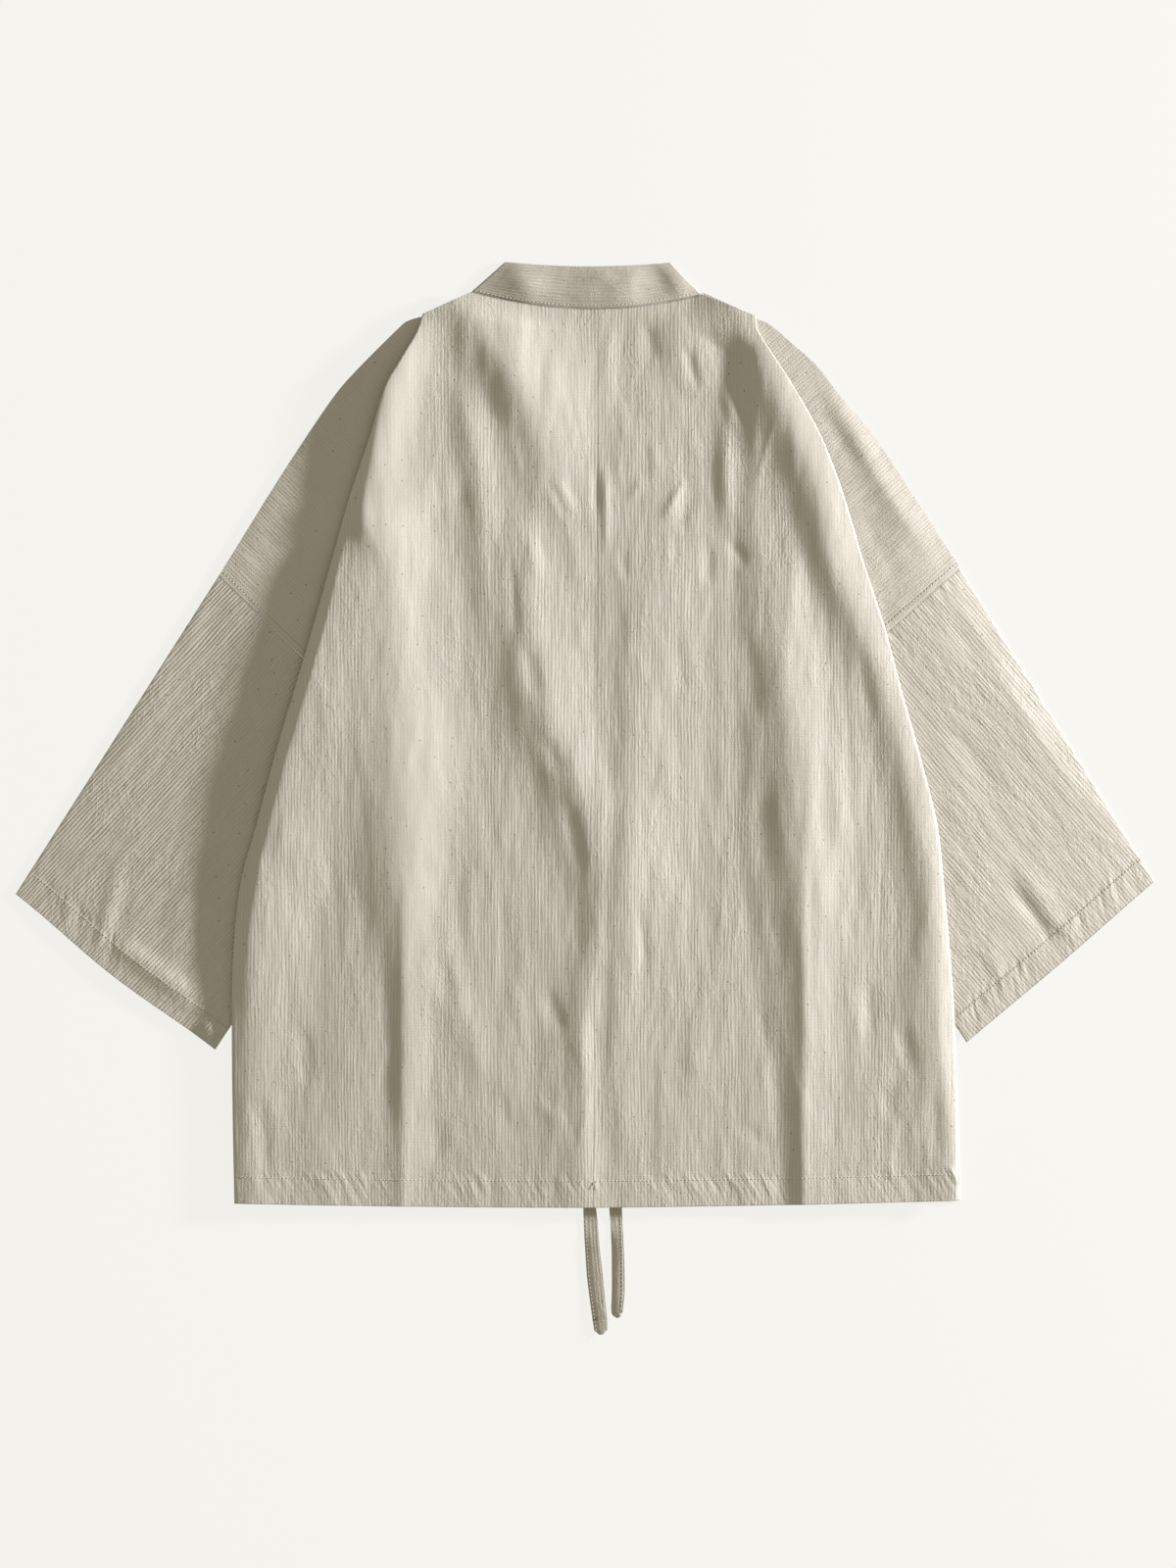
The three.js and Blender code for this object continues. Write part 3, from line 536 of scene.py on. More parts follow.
# %% [markdown]
# ## A closed wall of cloth
#
# Every piece is made in the same way: a grid of points in the middle of the cloth, pushed half a
# thickness out on both sides and closed round its edges. Each point also keeps where it was in the
# flat pattern, so that the ribs follow the cut, and how far it is from the hem and from a seam.

# %% Cloth wall
def mesh_object(name, points, quads, creases=None):
    """A smooth mesh of quads. creases are the pairs of points whose edge stays sharp."""
    mesh = bpy.data.meshes.new(name)
    mesh.vertices.add(len(points))
    mesh.vertices.foreach_set("co", (np.asarray(points) * MM).ravel())
    mesh.loops.add(quads.size)
    mesh.loops.foreach_set("vertex_index", quads.ravel().astype(np.int32))
    mesh.polygons.add(len(quads))
    mesh.polygons.foreach_set("loop_start", np.arange(0, quads.size, 4, dtype=np.int32))
    mesh.update(calc_edges=True)
    mesh.polygons.foreach_set("use_smooth", np.ones(len(quads), bool))
    if creases is not None:
        edges = np.empty(len(mesh.edges) * 2, np.int64)
        mesh.edges.foreach_get("vertices", edges)
        key = lambda pairs: pairs.min(axis=1) * len(points) + pairs.max(axis=1)
        sharp = np.isin(key(edges.reshape(-1, 2)), key(creases))
        mesh.attributes.new("sharp_edge", "BOOLEAN", "EDGE").data.foreach_set("value", sharp)
    piece = bpy.data.objects.new(name, mesh)
    bpy.context.scene.collection.objects.link(piece)
    return piece


def grid_normals(grid, mask, ring):
    """Each cell's four corners, the cells' normals summed at the points."""
    rows, columns = grid.shape[:2]
    index = np.arange(rows * columns).reshape(rows, columns)
    right = np.roll(index, -1, axis=1) if ring else index[:, 1:]
    here = index if ring else index[:, :-1]
    cells = np.stack([here[:-1], right[:-1], right[1:], here[1:]], -1)
    cells = cells[mask] if mask is not None else cells.reshape(-1, 4)
    flat = grid.reshape(-1, 3)
    a, b, c, d = (flat[cells[:, k]] for k in range(4))
    face = np.cross(c - a, d - b)
    normals = np.zeros_like(flat)
    for k in range(4):
        np.add.at(normals, cells[:, k], face)
    length = np.linalg.norm(normals, axis=1, keepdims=True)
    return cells, normals / np.maximum(length, 1e-9)


FAR = 900.0  # mm, for cloth with no seam near it
MARKS = {"hem_mm": FAR, "armhole_mm": FAR, "centre_mm": FAR, "neck_mm": FAR, "drawn": 0.0}


def cloth_wall(name, grid, weave, mask=None, ring=False, marks=None, thickness=CLOTH):
    """A closed sheet on grid. weave is each point's place in the flat pattern, and marks are its
    distances from the hem and the seams, and how tight it is drawn."""
    cells, normals = grid_normals(grid, mask, ring)
    used = np.unique(cells)
    renumber = np.full(grid.shape[0] * grid.shape[1], -1)
    renumber[used] = np.arange(len(used))
    cells = renumber[cells]
    middle, normal = grid.reshape(-1, 3)[used], normals[used]
    under = len(used)
    points = np.vstack([middle + normal * thickness / 2, middle - normal * thickness / 2])
    starts, ends = cells.ravel(), np.roll(cells, -1, axis=1).ravel()
    forward, backward = starts * under + ends, ends * under + starts
    rim = ~np.isin(forward, backward)
    starts, ends = starts[rim], ends[rim]
    sides = np.stack([ends, starts, under + starts, under + ends], -1)
    quads = np.vstack([cells, under + cells[:, ::-1], sides])
    creases = np.stack([starts, ends], -1)
    piece = mesh_object(name, points, quads, np.vstack([creases, creases + under]))
    mesh = piece.data
    corner = quads.ravel() % under
    flat = weave.reshape(-1, 2)[used]
    layer = mesh.uv_layers.new(name="weave")
    layer.data.foreach_set("uv", (flat[corner] * MM).ravel().astype(np.float32))
    for label, nothing in MARKS.items():
        values = (marks or {}).get(label, np.full(grid.shape[:2], nothing))
        data = mesh.attributes.new(label, "FLOAT", "POINT").data
        data.foreach_set("value", np.tile(values.ravel()[used], 2).astype(np.float32))
    print(f"{name}: {len(quads) * 2} triangles")
    return piece, normals.reshape(grid.shape)


# %% [markdown]
# ## Halves of the back and of the front
#
# Each half is one piece of cloth. From its inner seam it runs out to the folded edge, turns under,
# runs back inside to the pleat's inner fold, and comes out again as the dropped shoulder.

# %% Panels
BACK_ROWS, FRONT_ROWS = 288, 144
TURN_STEPS = 8
TURN_SQUASH = 0.2  # a pressed fold is flatter than round
PLEAT_SHARES = np.array([0, 0.08, 0.16, 0.26, 0.38, 0.52, 0.7, 0.85])
PLEAT_LIFT = 0.7  # share of the pleat that the back's own height still lifts
NECK_SHARE = 8 / 14  # of the back's top edge
DIRECTION_STEP = 0.02  # share of an edge over which its direction is taken
PATTERN_X = {"arm": 900, "sleeve": 2000, "band": 4000, "tie": 6000}  # no two pieces share a rib


def turn_of_cloth(centre, direction, first, last):
    """Columns round a fold, from the layer at height first to the one at height last."""
    share = np.arange(TURN_STEPS)[None, :] / TURN_STEPS
    reach = TURN_SQUASH * np.abs(first - last)[:, None] / 2 * np.sin(np.pi * share)
    height = (first + last)[:, None] / 2 + (first - last)[:, None] / 2 * np.cos(np.pi * share)
    flat = centre[:, None] + direction[:, None] * reach[..., None]
    return np.dstack([flat, height])


def with_height(flat, height):
    return np.dstack([flat, np.broadcast_to(height, flat.shape[:2])])


def panel(
    name, side_name, inner, top, levels, rows, columns, arm_columns, body_height, arm_height, outset
):
    """Half of the back or the front: body, turn, pleat, inner fold and dropped shoulder."""
    side = SIDES[side_name]
    sign, column, arm_rows = side["sign"], EDGE_COLUMN[side_name], round(rows * SPLIT)
    edge = spline(
        side["pivot"],
        *[(row[column] + outset(row[0]) * sign, row[0]) for row in BODY_EDGE],
        (side["hem"][0] + outset(side["hem"][1]) * sign, side["hem"][1]),
    )
    v = np.arange(rows + 1) / rows
    pleat_z = layer_height(levels["pleat"])
    edge_points = edge(v)
    ahead = edge(np.minimum(v + DIRECTION_STEP, 1)) - edge(np.maximum(v - DIRECTION_STEP, 0))
    away = np.stack([-ahead[:, 1], ahead[:, 0]], -1) * sign
    away /= np.linalg.norm(away, axis=1, keepdims=True)
    turn_points = edge_points - away * (TURN_SQUASH * LAYER + CLOTH) / 2
    turn = lambda at: np.stack([np.interp(at, v, turn_points[:, k]) for k in range(2)], -1)
    caught = turn_points[0] - away[0] * PLEAT_CAUGHT
    inner_fold = joined(
        spline(caught, side["pleat_end"]), spline(side["pleat_end"], side["seam_hem"]), SPLIT
    )
    u = np.arange(columns) / columns
    body_hem = hem_line(inner(1.0), turn_points[-1])
    body = patch(top(turn_points[0]), body_hem, inner, turn, u, v)
    body_z = body_height(body[..., 0], body[..., 1])
    turn_z = body_height(turn_points[:, 0], turn_points[:, 1])
    toward = np.sign(pleat_z - turn_z.mean())
    parts = [with_height(body, body_z)]
    parts.append(turn_of_cloth(turn_points, away, turn_z, turn_z + toward * LAYER))
    pleat = patch(
        spline(turn_points[0], caught), hem_line(turn_points[-1], np.array(side["seam_hem"])),
        turn, inner_fold, PLEAT_SHARES, v,
    )
    lift = body_height(pleat[..., 0], pleat[..., 1]) + toward * LAYER - pleat_z
    lift = lift * smoothstep(-PLEAT_SHARES, -PLEAT_LIFT, 0)[None, :]
    parts.append(with_height(pleat, pleat_z + lift))
    fold_column = sum(part.shape[1] for part in parts)

    split_v = np.minimum(v / SPLIT, 1)
    fold_points = inner_fold(v)
    drop = smoothstep(v, SPLIT, SPLIT + SIDE_SEAM_CLOSES)
    arm_z = arm_height(fold_points[:, 0], fold_points[:, 1], split_v)
    inward = np.tile([-sign, 0.0], (rows + 1, 1))
    fold = turn_of_cloth(fold_points, inward, np.full(rows + 1, pleat_z), arm_z)
    fold[:, 0, 2] = pleat_z + (layer_height(levels["seam"]) - pleat_z) * drop
    parts.append(fold)

    end, under = np.array(side["shoulder_end"], float), np.array(side["underarm"], float)
    out = (end - under) / np.linalg.norm(end - under)
    off_seam = np.array([-out[1], out[0]]) * sign * SEAM_GAP
    armhole = spline(end + off_seam, under + off_seam)
    arm_u = np.arange(arm_columns + 1) / arm_columns
    arm = patch(
        spline(caught, *SHOULDER[side_name], armhole(0.0)), spline(side["pleat_end"], armhole(1.0)),
        lambda share: inner_fold(np.asarray(share) * SPLIT), armhole, arm_u, split_v,
    )
    arm_z = arm_height(arm[..., 0], arm[..., 1], split_v[:, None])
    parts.append(with_height(arm, arm_z))
    grid = np.concatenate(parts, axis=1)

    cells = np.ones((rows, grid.shape[1] - 1), bool)
    cells[arm_rows:, fold_column:] = False

    # In the flat pattern the body's ribs run down the body, and the shoulder's along the armhole.
    weave = grid[..., :2].copy()
    first_arm = fold_column + TURN_STEPS
    off = (arm - armhole(0.0)) @ (off_seam / SEAM_GAP)
    down = (arm - armhole(0.0)) @ -out
    weave[:, first_arm:] = np.stack([off + PATTERN_X["arm"] * sign, down], -1)
    turned = slice(columns + TURN_STEPS, first_arm)
    weave[:, turned, 0] = 2 * turn_points[:, None, 0] - grid[:, turned, 0]
    marks = {label: np.full(grid.shape[:2], nothing) for label, nothing in MARKS.items()}
    x, y = grid[..., 0], grid[..., 1]
    from_seam = (x[:, :fold_column] - inner(1.0)[0]) / (turn_points[-1, 0] - inner(1.0)[0])
    marks["hem_mm"][:, :fold_column] = y[:, :fold_column] - body_hem(np.clip(from_seam, 0, 1))[..., 1]
    marks["armhole_mm"][:, first_arm:] = np.abs(off)
    if name.startswith("cloth_back"):
        x, y = x[:, :columns], y[:, :columns]
        marks["centre_mm"][:, :columns] = x - centre_x(y)
        marks["neck_mm"][:, :columns] = neck_y(x) - y
        marks["drawn"][:, :columns] = drawn_tight(x, y)
    piece, normals = cloth_wall(name, grid, weave, mask=cells, marks=marks)
    return dict(
        piece=piece, grid=grid, normals=normals, hem=marks["hem_mm"], seam=marks["armhole_mm"],
        columns=columns, first_arm=first_arm, arm_rows=arm_rows,
    )


def back_half(side_name):
    side = SIDES[side_name]
    sign = side["sign"]
    gap = sign * CENTRE_GAP / 2
    middle_x = centre_x(NECK_Y) + gap

    def neck(share):
        x = middle_x + (side["neck"][0] - middle_x) * np.asarray(share, float)
        return np.stack([x, neck_y(x)], -1)

    def top(corner):
        return joined(neck, spline(neck(1.0), corner), NECK_SHARE)

    return panel(
        f"cloth_back_{side_name}", side_name,
        inner=spline((middle_x, neck_y(middle_x)), (centre_x(HEM_Y) + gap, HEM_Y - HEM_DIP)),
        top=top,
        levels={"pleat": LEVEL["backPleat"], "seam": LEVEL["backArm"]},
        rows=BACK_ROWS, columns=112, arm_columns=72,
        body_height=back_height,
        arm_height=lambda x, y, across: back_arm_height(side_name, x, y, across),
        outset=lambda y: 0.0,
    )


backs = {name: back_half(name) for name in SIDES}

# %% [markdown]
# The fronts lie under the back, flat on the floor, and show from below and between the two bands.
# They are folded in the same way, a little inside the back's outline.

# %% Fronts
def band_seam(side_name, clearance):
    side = SIDES[side_name]
    shift = side["sign"] * clearance
    return spline(
        (side["neck"][0] + shift, side["neck"][1] - 1),
        (side["band_seam_hem_x"] + shift, side["hem"][1] - HEM_DIP + 1),
    )


def front_half(side_name):
    side = SIDES[side_name]
    inner = band_seam(side_name, SEAM_GAP)
    shown = lambda y: side["front_peek"] * smoothstep(-y, -PEEK_FROM_Y, -PEEK_TO_Y)
    return panel(
        f"cloth_front_{side_name}", side_name,
        inner=inner,
        top=lambda corner: spline(inner(0.0), corner),
        levels={"pleat": LEVEL["frontPleat"], "seam": LEVEL["frontArm"]},
        rows=FRONT_ROWS, columns=44, arm_columns=30,
        body_height=lambda x, y: np.full(np.shape(x), layer_height(LEVEL["frontBody"])),
        arm_height=lambda x, y, across: front_arm_height(side_name, x, y),
        outset=lambda y: shown(y) - FRONT_SET_BACK,
    )


fronts = {name: front_half(name) for name in SIDES}

# %% [markdown]
# ## Sleeves
#
# A sleeve is a wide straight tube, so it lies as a ring of cloth: over the back from the top fold to
# the underarm, round, and back along the front.

# %% Sleeves
SLEEVE_ROWS, SLEEVE_COLUMNS, SLEEVE_FRONT_COLUMNS = 112, 84, 28
CUFF_BOW_FROM = 0.6  # share of the sleeve's length


def sleeve(side_name):
    side = SIDES[side_name]
    top = spline(side["shoulder_end"], side["cuff_top"])
    under = spline(side["underarm"], side["cuff_under"])
    along = np.subtract(side["cuff_top"], side["shoulder_end"])
    length = np.linalg.norm(along)
    along = along / length
    radius = LAYER / 2
    down = np.arange(SLEEVE_ROWS + 1) / SLEEVE_ROWS
    start, stop = top(down), under(down)
    span = stop - start
    width = np.linalg.norm(span, axis=1, keepdims=True)
    span = span / width
    inset = radius + CLOTH / 2

    def place(across):
        across = np.asarray(across, float)[None, :, None]
        point = start[:, None] + span[:, None] * (inset + (width[:, None] - 2 * inset) * across)
        near_cuff = smoothstep(down, CUFF_BOW_FROM, 1)[:, None, None]
        return point + along * (side["cuff_bow"] * np.sin(np.pi * across) ** 2 * near_cuff)

    def turned(across):
        share = np.arange(TURN_STEPS) / TURN_STEPS
        angle, out = np.pi * share, 1 if across == 1 else -1
        point = place([across])
        height = front_arm_height(side_name, point[..., 0], point[..., 1]) + radius
        flat = point + span[:, None] * (out * radius * np.sin(angle))[None, :, None]
        return np.dstack([flat, height + out * radius * np.cos(angle)[None, :]])

    over = np.arange(SLEEVE_COLUMNS) / SLEEVE_COLUMNS
    flat = place(over)
    back = with_height(flat, back_arm_height(side_name, flat[..., 0], flat[..., 1], over[None, :]))
    flat = place(1 - np.arange(SLEEVE_FRONT_COLUMNS) / SLEEVE_FRONT_COLUMNS)
    front = with_height(flat, front_arm_height(side_name, flat[..., 0], flat[..., 1]))
    grid = np.concatenate([back, turned(1), front, turned(0)], axis=1)
    distance = np.tile(down[:, None] * length, (1, grid.shape[1]))
    base = np.subtract(side["underarm"], side["shoulder_end"])
    base = base / np.linalg.norm(base)
    around = (grid[..., :2] - np.array(side["shoulder_end"])) @ base
    weave = np.stack([around + PATTERN_X["sleeve"] * side["sign"], distance], -1)
    hem = np.tile(((1 - down) * length)[:, None], (1, grid.shape[1]))
    drawn = np.full(distance.shape, side["drawn"])
    marks = {"hem_mm": hem, "armhole_mm": -distance, "drawn": drawn}
    piece, normals = cloth_wall(f"cloth_sleeve_{side_name}", grid, weave, ring=True, marks=marks)
    return dict(piece=piece, grid=grid, normals=normals, hem=hem)


sleeves = {name: sleeve(name) for name in SIDES}

# %% [markdown]
# ## Collar band
#
# One long strip, folded double, runs up the left front, round the back of the neck and down the
# right front. It turns over at each corner of the neck, so on the back of the neck its outside shows.

# %% Band
BAND_FRONT_ROWS, BAND_BACK_ROWS, BAND_COLUMNS, BAND_TURN = 150, 90, 12, 8
BAND_THICKNESS = 0.9
BAND_CORNER_CLEARANCE, BAND_SQUASH = 0.9, 0.1
BAND_LIFT, BAND_BULGE, BAND_EASE_ROWS = 0.35, 0.7, 13
BAND_WAVES = [(0.8, 34, 22, 31), (0.36, 13, 11, 32)]  # depth, along, across, seed
BAND_FOLDS = [  # x, left, right, rise
    (-50, 16, 14, 2), (36, 44, 14, 2.8), (80, 14, 10, 1.8),
]


def collar_band():
    low, high = layer_height(LEVEL["frontBody"]), layer_height(NECK_LEVEL)
    rows = []

    def front_row(side_name, t):
        side = SIDES[side_name]
        seam = band_seam(side_name, 0)
        top_x, top_y = side["band_top"]
        free = spline((top_x, top_y - 1), (side["band_free_hem_x"], seam(1.0)[1]))
        return seam(t), free(t), low

    def back_row(t):
        left, right = SIDES["left"], SIDES["right"]
        seam_x, free_x = (left[at][0] + (right[at][0] - left[at][0]) * t for at in ("neck", "band_top"))
        seam = np.array([seam_x, neck_y(seam_x) + SEAM_GAP])
        return seam, np.array([free_x, band_top_y(free_x)]), high

    def over(side_name, share):
        side = SIDES[side_name]
        seam, free, _ = back_row(0.0 if side_name == "left" else 1.0)
        across = (free - seam) / np.linalg.norm(free - seam)
        out = np.array([-across[1], across[0]])
        out = out if out[0] * side["sign"] > 0 else -out
        depth = BAND_SQUASH * (high - low)
        reach = depth / 2 * math.sin(math.pi * share) - (depth + CLOTH) / 2
        height = low + (high - low) * (1 - math.cos(math.pi * share)) / 2
        return seam + out * reach + across * BAND_CORNER_CLEARANCE, free + out * reach, height

    rows += [front_row("left", 1 - j / BAND_FRONT_ROWS) for j in range(BAND_FRONT_ROWS)]
    rows += [over("left", j / BAND_TURN) for j in range(BAND_TURN + 1)]
    first_back = len(rows)
    rows += [back_row(j / BAND_BACK_ROWS) for j in range(1, BAND_BACK_ROWS)]
    rows += [over("right", j / BAND_TURN) for j in range(BAND_TURN, -1, -1)]
    rows += [front_row("right", j / BAND_FRONT_ROWS) for j in range(1, BAND_FRONT_ROWS + 1)]
    seam = np.array([row[0] for row in rows])
    free = np.array([row[1] for row in rows])
    height = np.array([row[2] for row in rows])
    across = np.arange(BAND_COLUMNS + 1) / BAND_COLUMNS
    flat = seam[:, None] * (1 - across)[None, :, None] + free[:, None] * across[None, :, None]
    middle = (seam + free) / 2
    length = np.r_[0, np.cumsum(np.linalg.norm(np.diff(middle, axis=0), axis=1))]
    width = np.linalg.norm(free - seam, axis=1)
    on_neck = np.zeros(len(rows))
    on_neck[first_back:first_back + BAND_BACK_ROWS - 1] = 1
    ease, pad = np.ones(BAND_EASE_ROWS) / BAND_EASE_ROWS, np.zeros(BAND_EASE_ROWS // 2)
    on_neck = np.convolve(np.r_[pad, on_neck, pad], ease, "valid")
    from_seam = across[None, :] * width[:, None]
    wave = sum(
        depth * lattice_noise(length[:, None], from_seam, run, over_it, seed)
        for depth, run, over_it, seed in BAND_WAVES
    )
    bulge = BAND_BULGE * np.sin(np.pi * across)[None, :] ** 0.6
    for at, left, right, rise in BAND_FOLDS:
        reach = np.where(flat[..., 0] < at, left, right)
        wave = wave + rise * np.exp(-(((flat[..., 0] - at) / reach) ** 2))
    loose = BAND_LIFT + bulge + wave * np.sin(np.pi * across)[None, :] ** 0.5
    grid = with_height(flat, height[:, None] + on_neck[:, None] * loose)
    run = np.broadcast_to(length[:, None], flat.shape[:2])
    weave = np.stack([from_seam + PATTERN_X["band"], run], -1)
    marks = {"neck_mm": from_seam}
    piece, normals = cloth_wall("cloth_band", grid, weave, marks=marks, thickness=BAND_THICKNESS)
    return dict(piece=piece, grid=grid, normals=normals, seam=from_seam, first_back=first_back)


band = collar_band()

# %% [markdown]
# ## Ties
#
# Two narrow tapes are sewn to the inner edges of the fronts. Only their ends show, past the hem.

# %% Ties
TIE_ATTACH_ROWS = 4
HEM_DROP_SPAN = 12
TIES = {
    "left": [
        (-15, -35, 10.5), (-10, -120, 10.5), (-3, -220, 10.5), (2.6, -300, 10.5),
        (3.8, HEM_Y - HEM_DIP, 10.5), (4.6, HEM_Y - HEM_DIP - HEM_DROP_SPAN, 11.5),
        (6.1, -372, 12), (8, -394, 13), (10.2, -414, 12.5), (12.2, -430, 12), (13, -439, 11),
        (13.2, -443, 3),
    ],
    "right": [
        (33, -30, 10.5), (29, -120, 10.5), (25.5, -220, 10.5), (24.5, -300, 10.5),
        (25.2, HEM_Y - HEM_DIP, 10.5), (25.9, HEM_Y - HEM_DIP - HEM_DROP_SPAN, 10),
        (27, -372, 10), (27.4, -392, 10.5), (27.4, -408, 10.5), (26.6, -420, 10),
        (26.4, -425, 9), (28, -428.8, 3),
    ],
}
TIE_COLUMNS, TIE_STEP = 8, 3.0
TIE_PUFF, TIE_CURL = 0.5, 0.25
TIE_TILT = 1.6  # the free ends stand a little on their left edges
TIE_PATTERN_STEP = 100


def tie(side_name):
    rows = np.array(TIES[side_name], float)
    step = np.r_[0, np.cumsum(np.hypot(*np.diff(rows[:, :2], axis=0).T))]
    levels = [TIE_LEVEL if j <= TIE_ATTACH_ROWS else 0 for j in range(len(rows))]
    heights = np.array([layer_height(level) for level in levels])
    at = np.unique(np.r_[np.arange(0, step[-1], TIE_STEP), step])
    centre = spline(*rows[:, :2])(at / step[-1])
    width = np.interp(at, step, rows[:, 2])
    z = np.interp(at, step, heights)
    ahead = np.gradient(centre, axis=0)
    across = np.stack([ahead[:, 1], -ahead[:, 0]], -1)
    across /= np.linalg.norm(across, axis=1, keepdims=True)
    share = np.arange(TIE_COLUMNS + 1) / TIE_COLUMNS - 0.5
    flat = centre[:, None] - across[:, None] * (share[None, :] * width[:, None])[..., None]
    free = smoothstep(at, step[TIE_ATTACH_ROWS + 1], step[TIE_ATTACH_ROWS + 2])[:, None]
    puff = TIE_PUFF * np.cos(np.pi * share)[None, :] ** 0.7 * free
    curl = TIE_CURL * (lattice_noise(at[:, None], share[None, :], 20, 1, 41) + 1) * free
    tilt = TIE_TILT * (share[None, :] + 0.5) * free
    grid = with_height(flat, z[:, None] + puff + curl + tilt)
    rib_x = share[None, :] * width[:, None] + PATTERN_X["tie"] + TIE_PATTERN_STEP * SIDES[side_name]["sign"]
    weave = np.stack([rib_x, np.broadcast_to(at[:, None], flat.shape[:2])], -1)
    seam = (share[None, :] + 0.5) * width[:, None]
    piece, normals = cloth_wall(f"cloth_tie_{side_name}", grid, weave)
    return dict(piece=piece, grid=grid, normals=normals, seam=seam)


ties = {name: tie(name) for name in SIDES}

# %% [markdown]
# ## Stitches
#
# The hems, cuffs and armholes are topstitched in a plain lockstitch, a little over three millimetres
# a stitch. Each stitch is a small grain of thread that sits in the cloth.

# %% Stitches
STITCH_PITCH, STITCH_LENGTH, STITCH_RADIUS = 3.2, 2.3, 0.28
STITCH_RINGS = [(-0.5, 0.35, -0.18), (-0.25, 0.95, 0), (0.25, 0.95, 0), (0.5, 0.35, -0.18)]
STITCH_CORNERS = 4
STITCH_WIDE, STITCH_FLAT, STITCH_SUNK = 1.3, 0.8, 0.15


def line_on_grid(grid, normals, distance, at, by_rows):
    """Where a distance field over the grid reaches at, along each row or each column."""
    if by_rows:
        grid, normals, distance = grid.transpose(1, 0, 2), normals.transpose(1, 0, 2), distance.T
    points, ups = [], []
    for path, up, field in zip(grid, normals, distance):
        side = np.sign(field - at)
        crossing = np.nonzero(side[:-1] * side[1:] < 0)[0]
        if len(crossing) == 0:
            continue
        k = crossing[0]
        share = (at - field[k]) / (field[k + 1] - field[k])
        points.append(path[k] * (1 - share) + path[k + 1] * share)
        ups.append(up[k] * (1 - share) + up[k + 1] * share)
    return np.array(points), np.array(ups)


def stitch_row(line, side, thickness=CLOTH):
    """The points of one row of stitches. side is 1 on top of the cloth and -1 below."""
    path, ups = line
    ups = ups * np.sign(ups[:, 2:3]) * side
    ups /= np.linalg.norm(ups, axis=1, keepdims=True)
    steps = np.r_[0, np.cumsum(np.linalg.norm(np.diff(path, axis=0), axis=1))]
    where = np.arange(STITCH_PITCH, steps[-1] - STITCH_PITCH, STITCH_PITCH)
    along_path = lambda at, values: np.stack([np.interp(at, steps, values[:, k]) for k in range(3)], -1)
    centre = along_path(where, path)
    ahead = along_path(where + 0.5, path) - centre
    ahead /= np.linalg.norm(ahead, axis=1, keepdims=True)
    up = along_path(where, ups)
    across = np.cross(ahead, up)
    across /= np.linalg.norm(across, axis=1, keepdims=True)
    centre = centre + up * (thickness / 2 + STITCH_RADIUS * STITCH_SUNK)
    rings = []
    for along, size, dip in STITCH_RINGS:
        middle = centre + ahead * along * STITCH_LENGTH + up * dip
        reach = STITCH_RADIUS * size * STITCH_WIDE
        for k in range(STITCH_CORNERS):
            angle = 2 * math.pi * (k + 0.5) / STITCH_CORNERS
            wide, high = math.cos(angle) * reach, math.sin(angle) * reach * STITCH_FLAT
            rings.append(middle + across * wide + up * high)
    return np.stack(rings, 1)


def stitch_faces():
    n, rings = STITCH_CORNERS, len(STITCH_RINGS)
    faces = []
    for start in range(0, n * (rings - 1), n):
        for k in range(n):
            after = (k + 1) % n
            faces.append([start + k, start + after, start + n + after, start + n + k])
    last = n * (rings - 1)
    return np.array(faces + [[3, 2, 1, 0], [last, last + 1, last + 2, last + 3]])


STITCH_FACES = stitch_faces()


def stitches(name, rows):
    grains = np.concatenate([row for row in rows if len(row)])
    first = np.arange(len(grains)) * grains.shape[1]
    quads = first[:, None, None] + STITCH_FACES[None]
    piece = mesh_object(name, grains.reshape(-1, 3), quads.reshape(-1, 4))
    print(f"{name}: {len(grains)} stitches, {len(quads) * len(STITCH_FACES) * 2} triangles")
    return piece


ALL = slice(None)
ARMHOLE_STITCH, NECK_STITCH = 5.4, 2.6
TIE_STITCH = {"left": 1.6, "right": 8.6}
TIE_SHOWN = slice(-40, -1)


def row_on(piece, rows, columns, mark, at, by_rows, side, thickness=CLOTH):
    """Stitches on a part of a piece, where its mark reaches at."""
    part = (rows, columns)
    line = line_on_grid(piece["grid"][part], piece["normals"][part], piece[mark][part], at, by_rows)
    return stitch_row(line, side, thickness)


def body_rows(halves, side):
    rows = []
    for half in halves.values():
        body, arm = slice(0, half["columns"] + 1), slice(half["first_arm"], None)
        rows.append(row_on(half, ALL, body, "hem", HEM_FOLD, True, side))
        rows.append(row_on(half, slice(0, half["arm_rows"]), arm, "seam", ARMHOLE_STITCH, False, side))
    return rows


def cuff_rows(half):
    back = slice(1, SLEEVE_COLUMNS)
    front = slice(SLEEVE_COLUMNS + TURN_STEPS + 1, -TURN_STEPS - 1)
    return [row_on(half, ALL, part, "hem", HEM_FOLD, True, side) for part, side in ((back, 1), (front, -1))]


def band_rows():
    first, last = band["first_back"], band["first_back"] + BAND_BACK_ROWS - 1
    parts = ((slice(first, last), 1), (slice(0, BAND_FRONT_ROWS), -1), (slice(-BAND_FRONT_ROWS, None), -1))
    return [
        row_on(band, part, ALL, "seam", NECK_STITCH, False, side, BAND_THICKNESS)
        for part, side in parts
    ]


back_stitches = stitches("stitches_back", body_rows(backs, 1))
front_stitches = stitches("stitches_front", body_rows(fronts, -1))
sleeve_stitches = stitches("stitches_sleeves", [row for half in sleeves.values() for row in cuff_rows(half)])
band_stitches = stitches("stitches_band", band_rows())
tie_stitches = stitches("stitches_ties", [
    row_on(ties[name], TIE_SHOWN, ALL, "seam", at, False, 1) for name, at in TIE_STITCH.items()
])

# %% [markdown]
# Where the back's seam meets the hem, the sewing thread's ends were left as a small tangle.

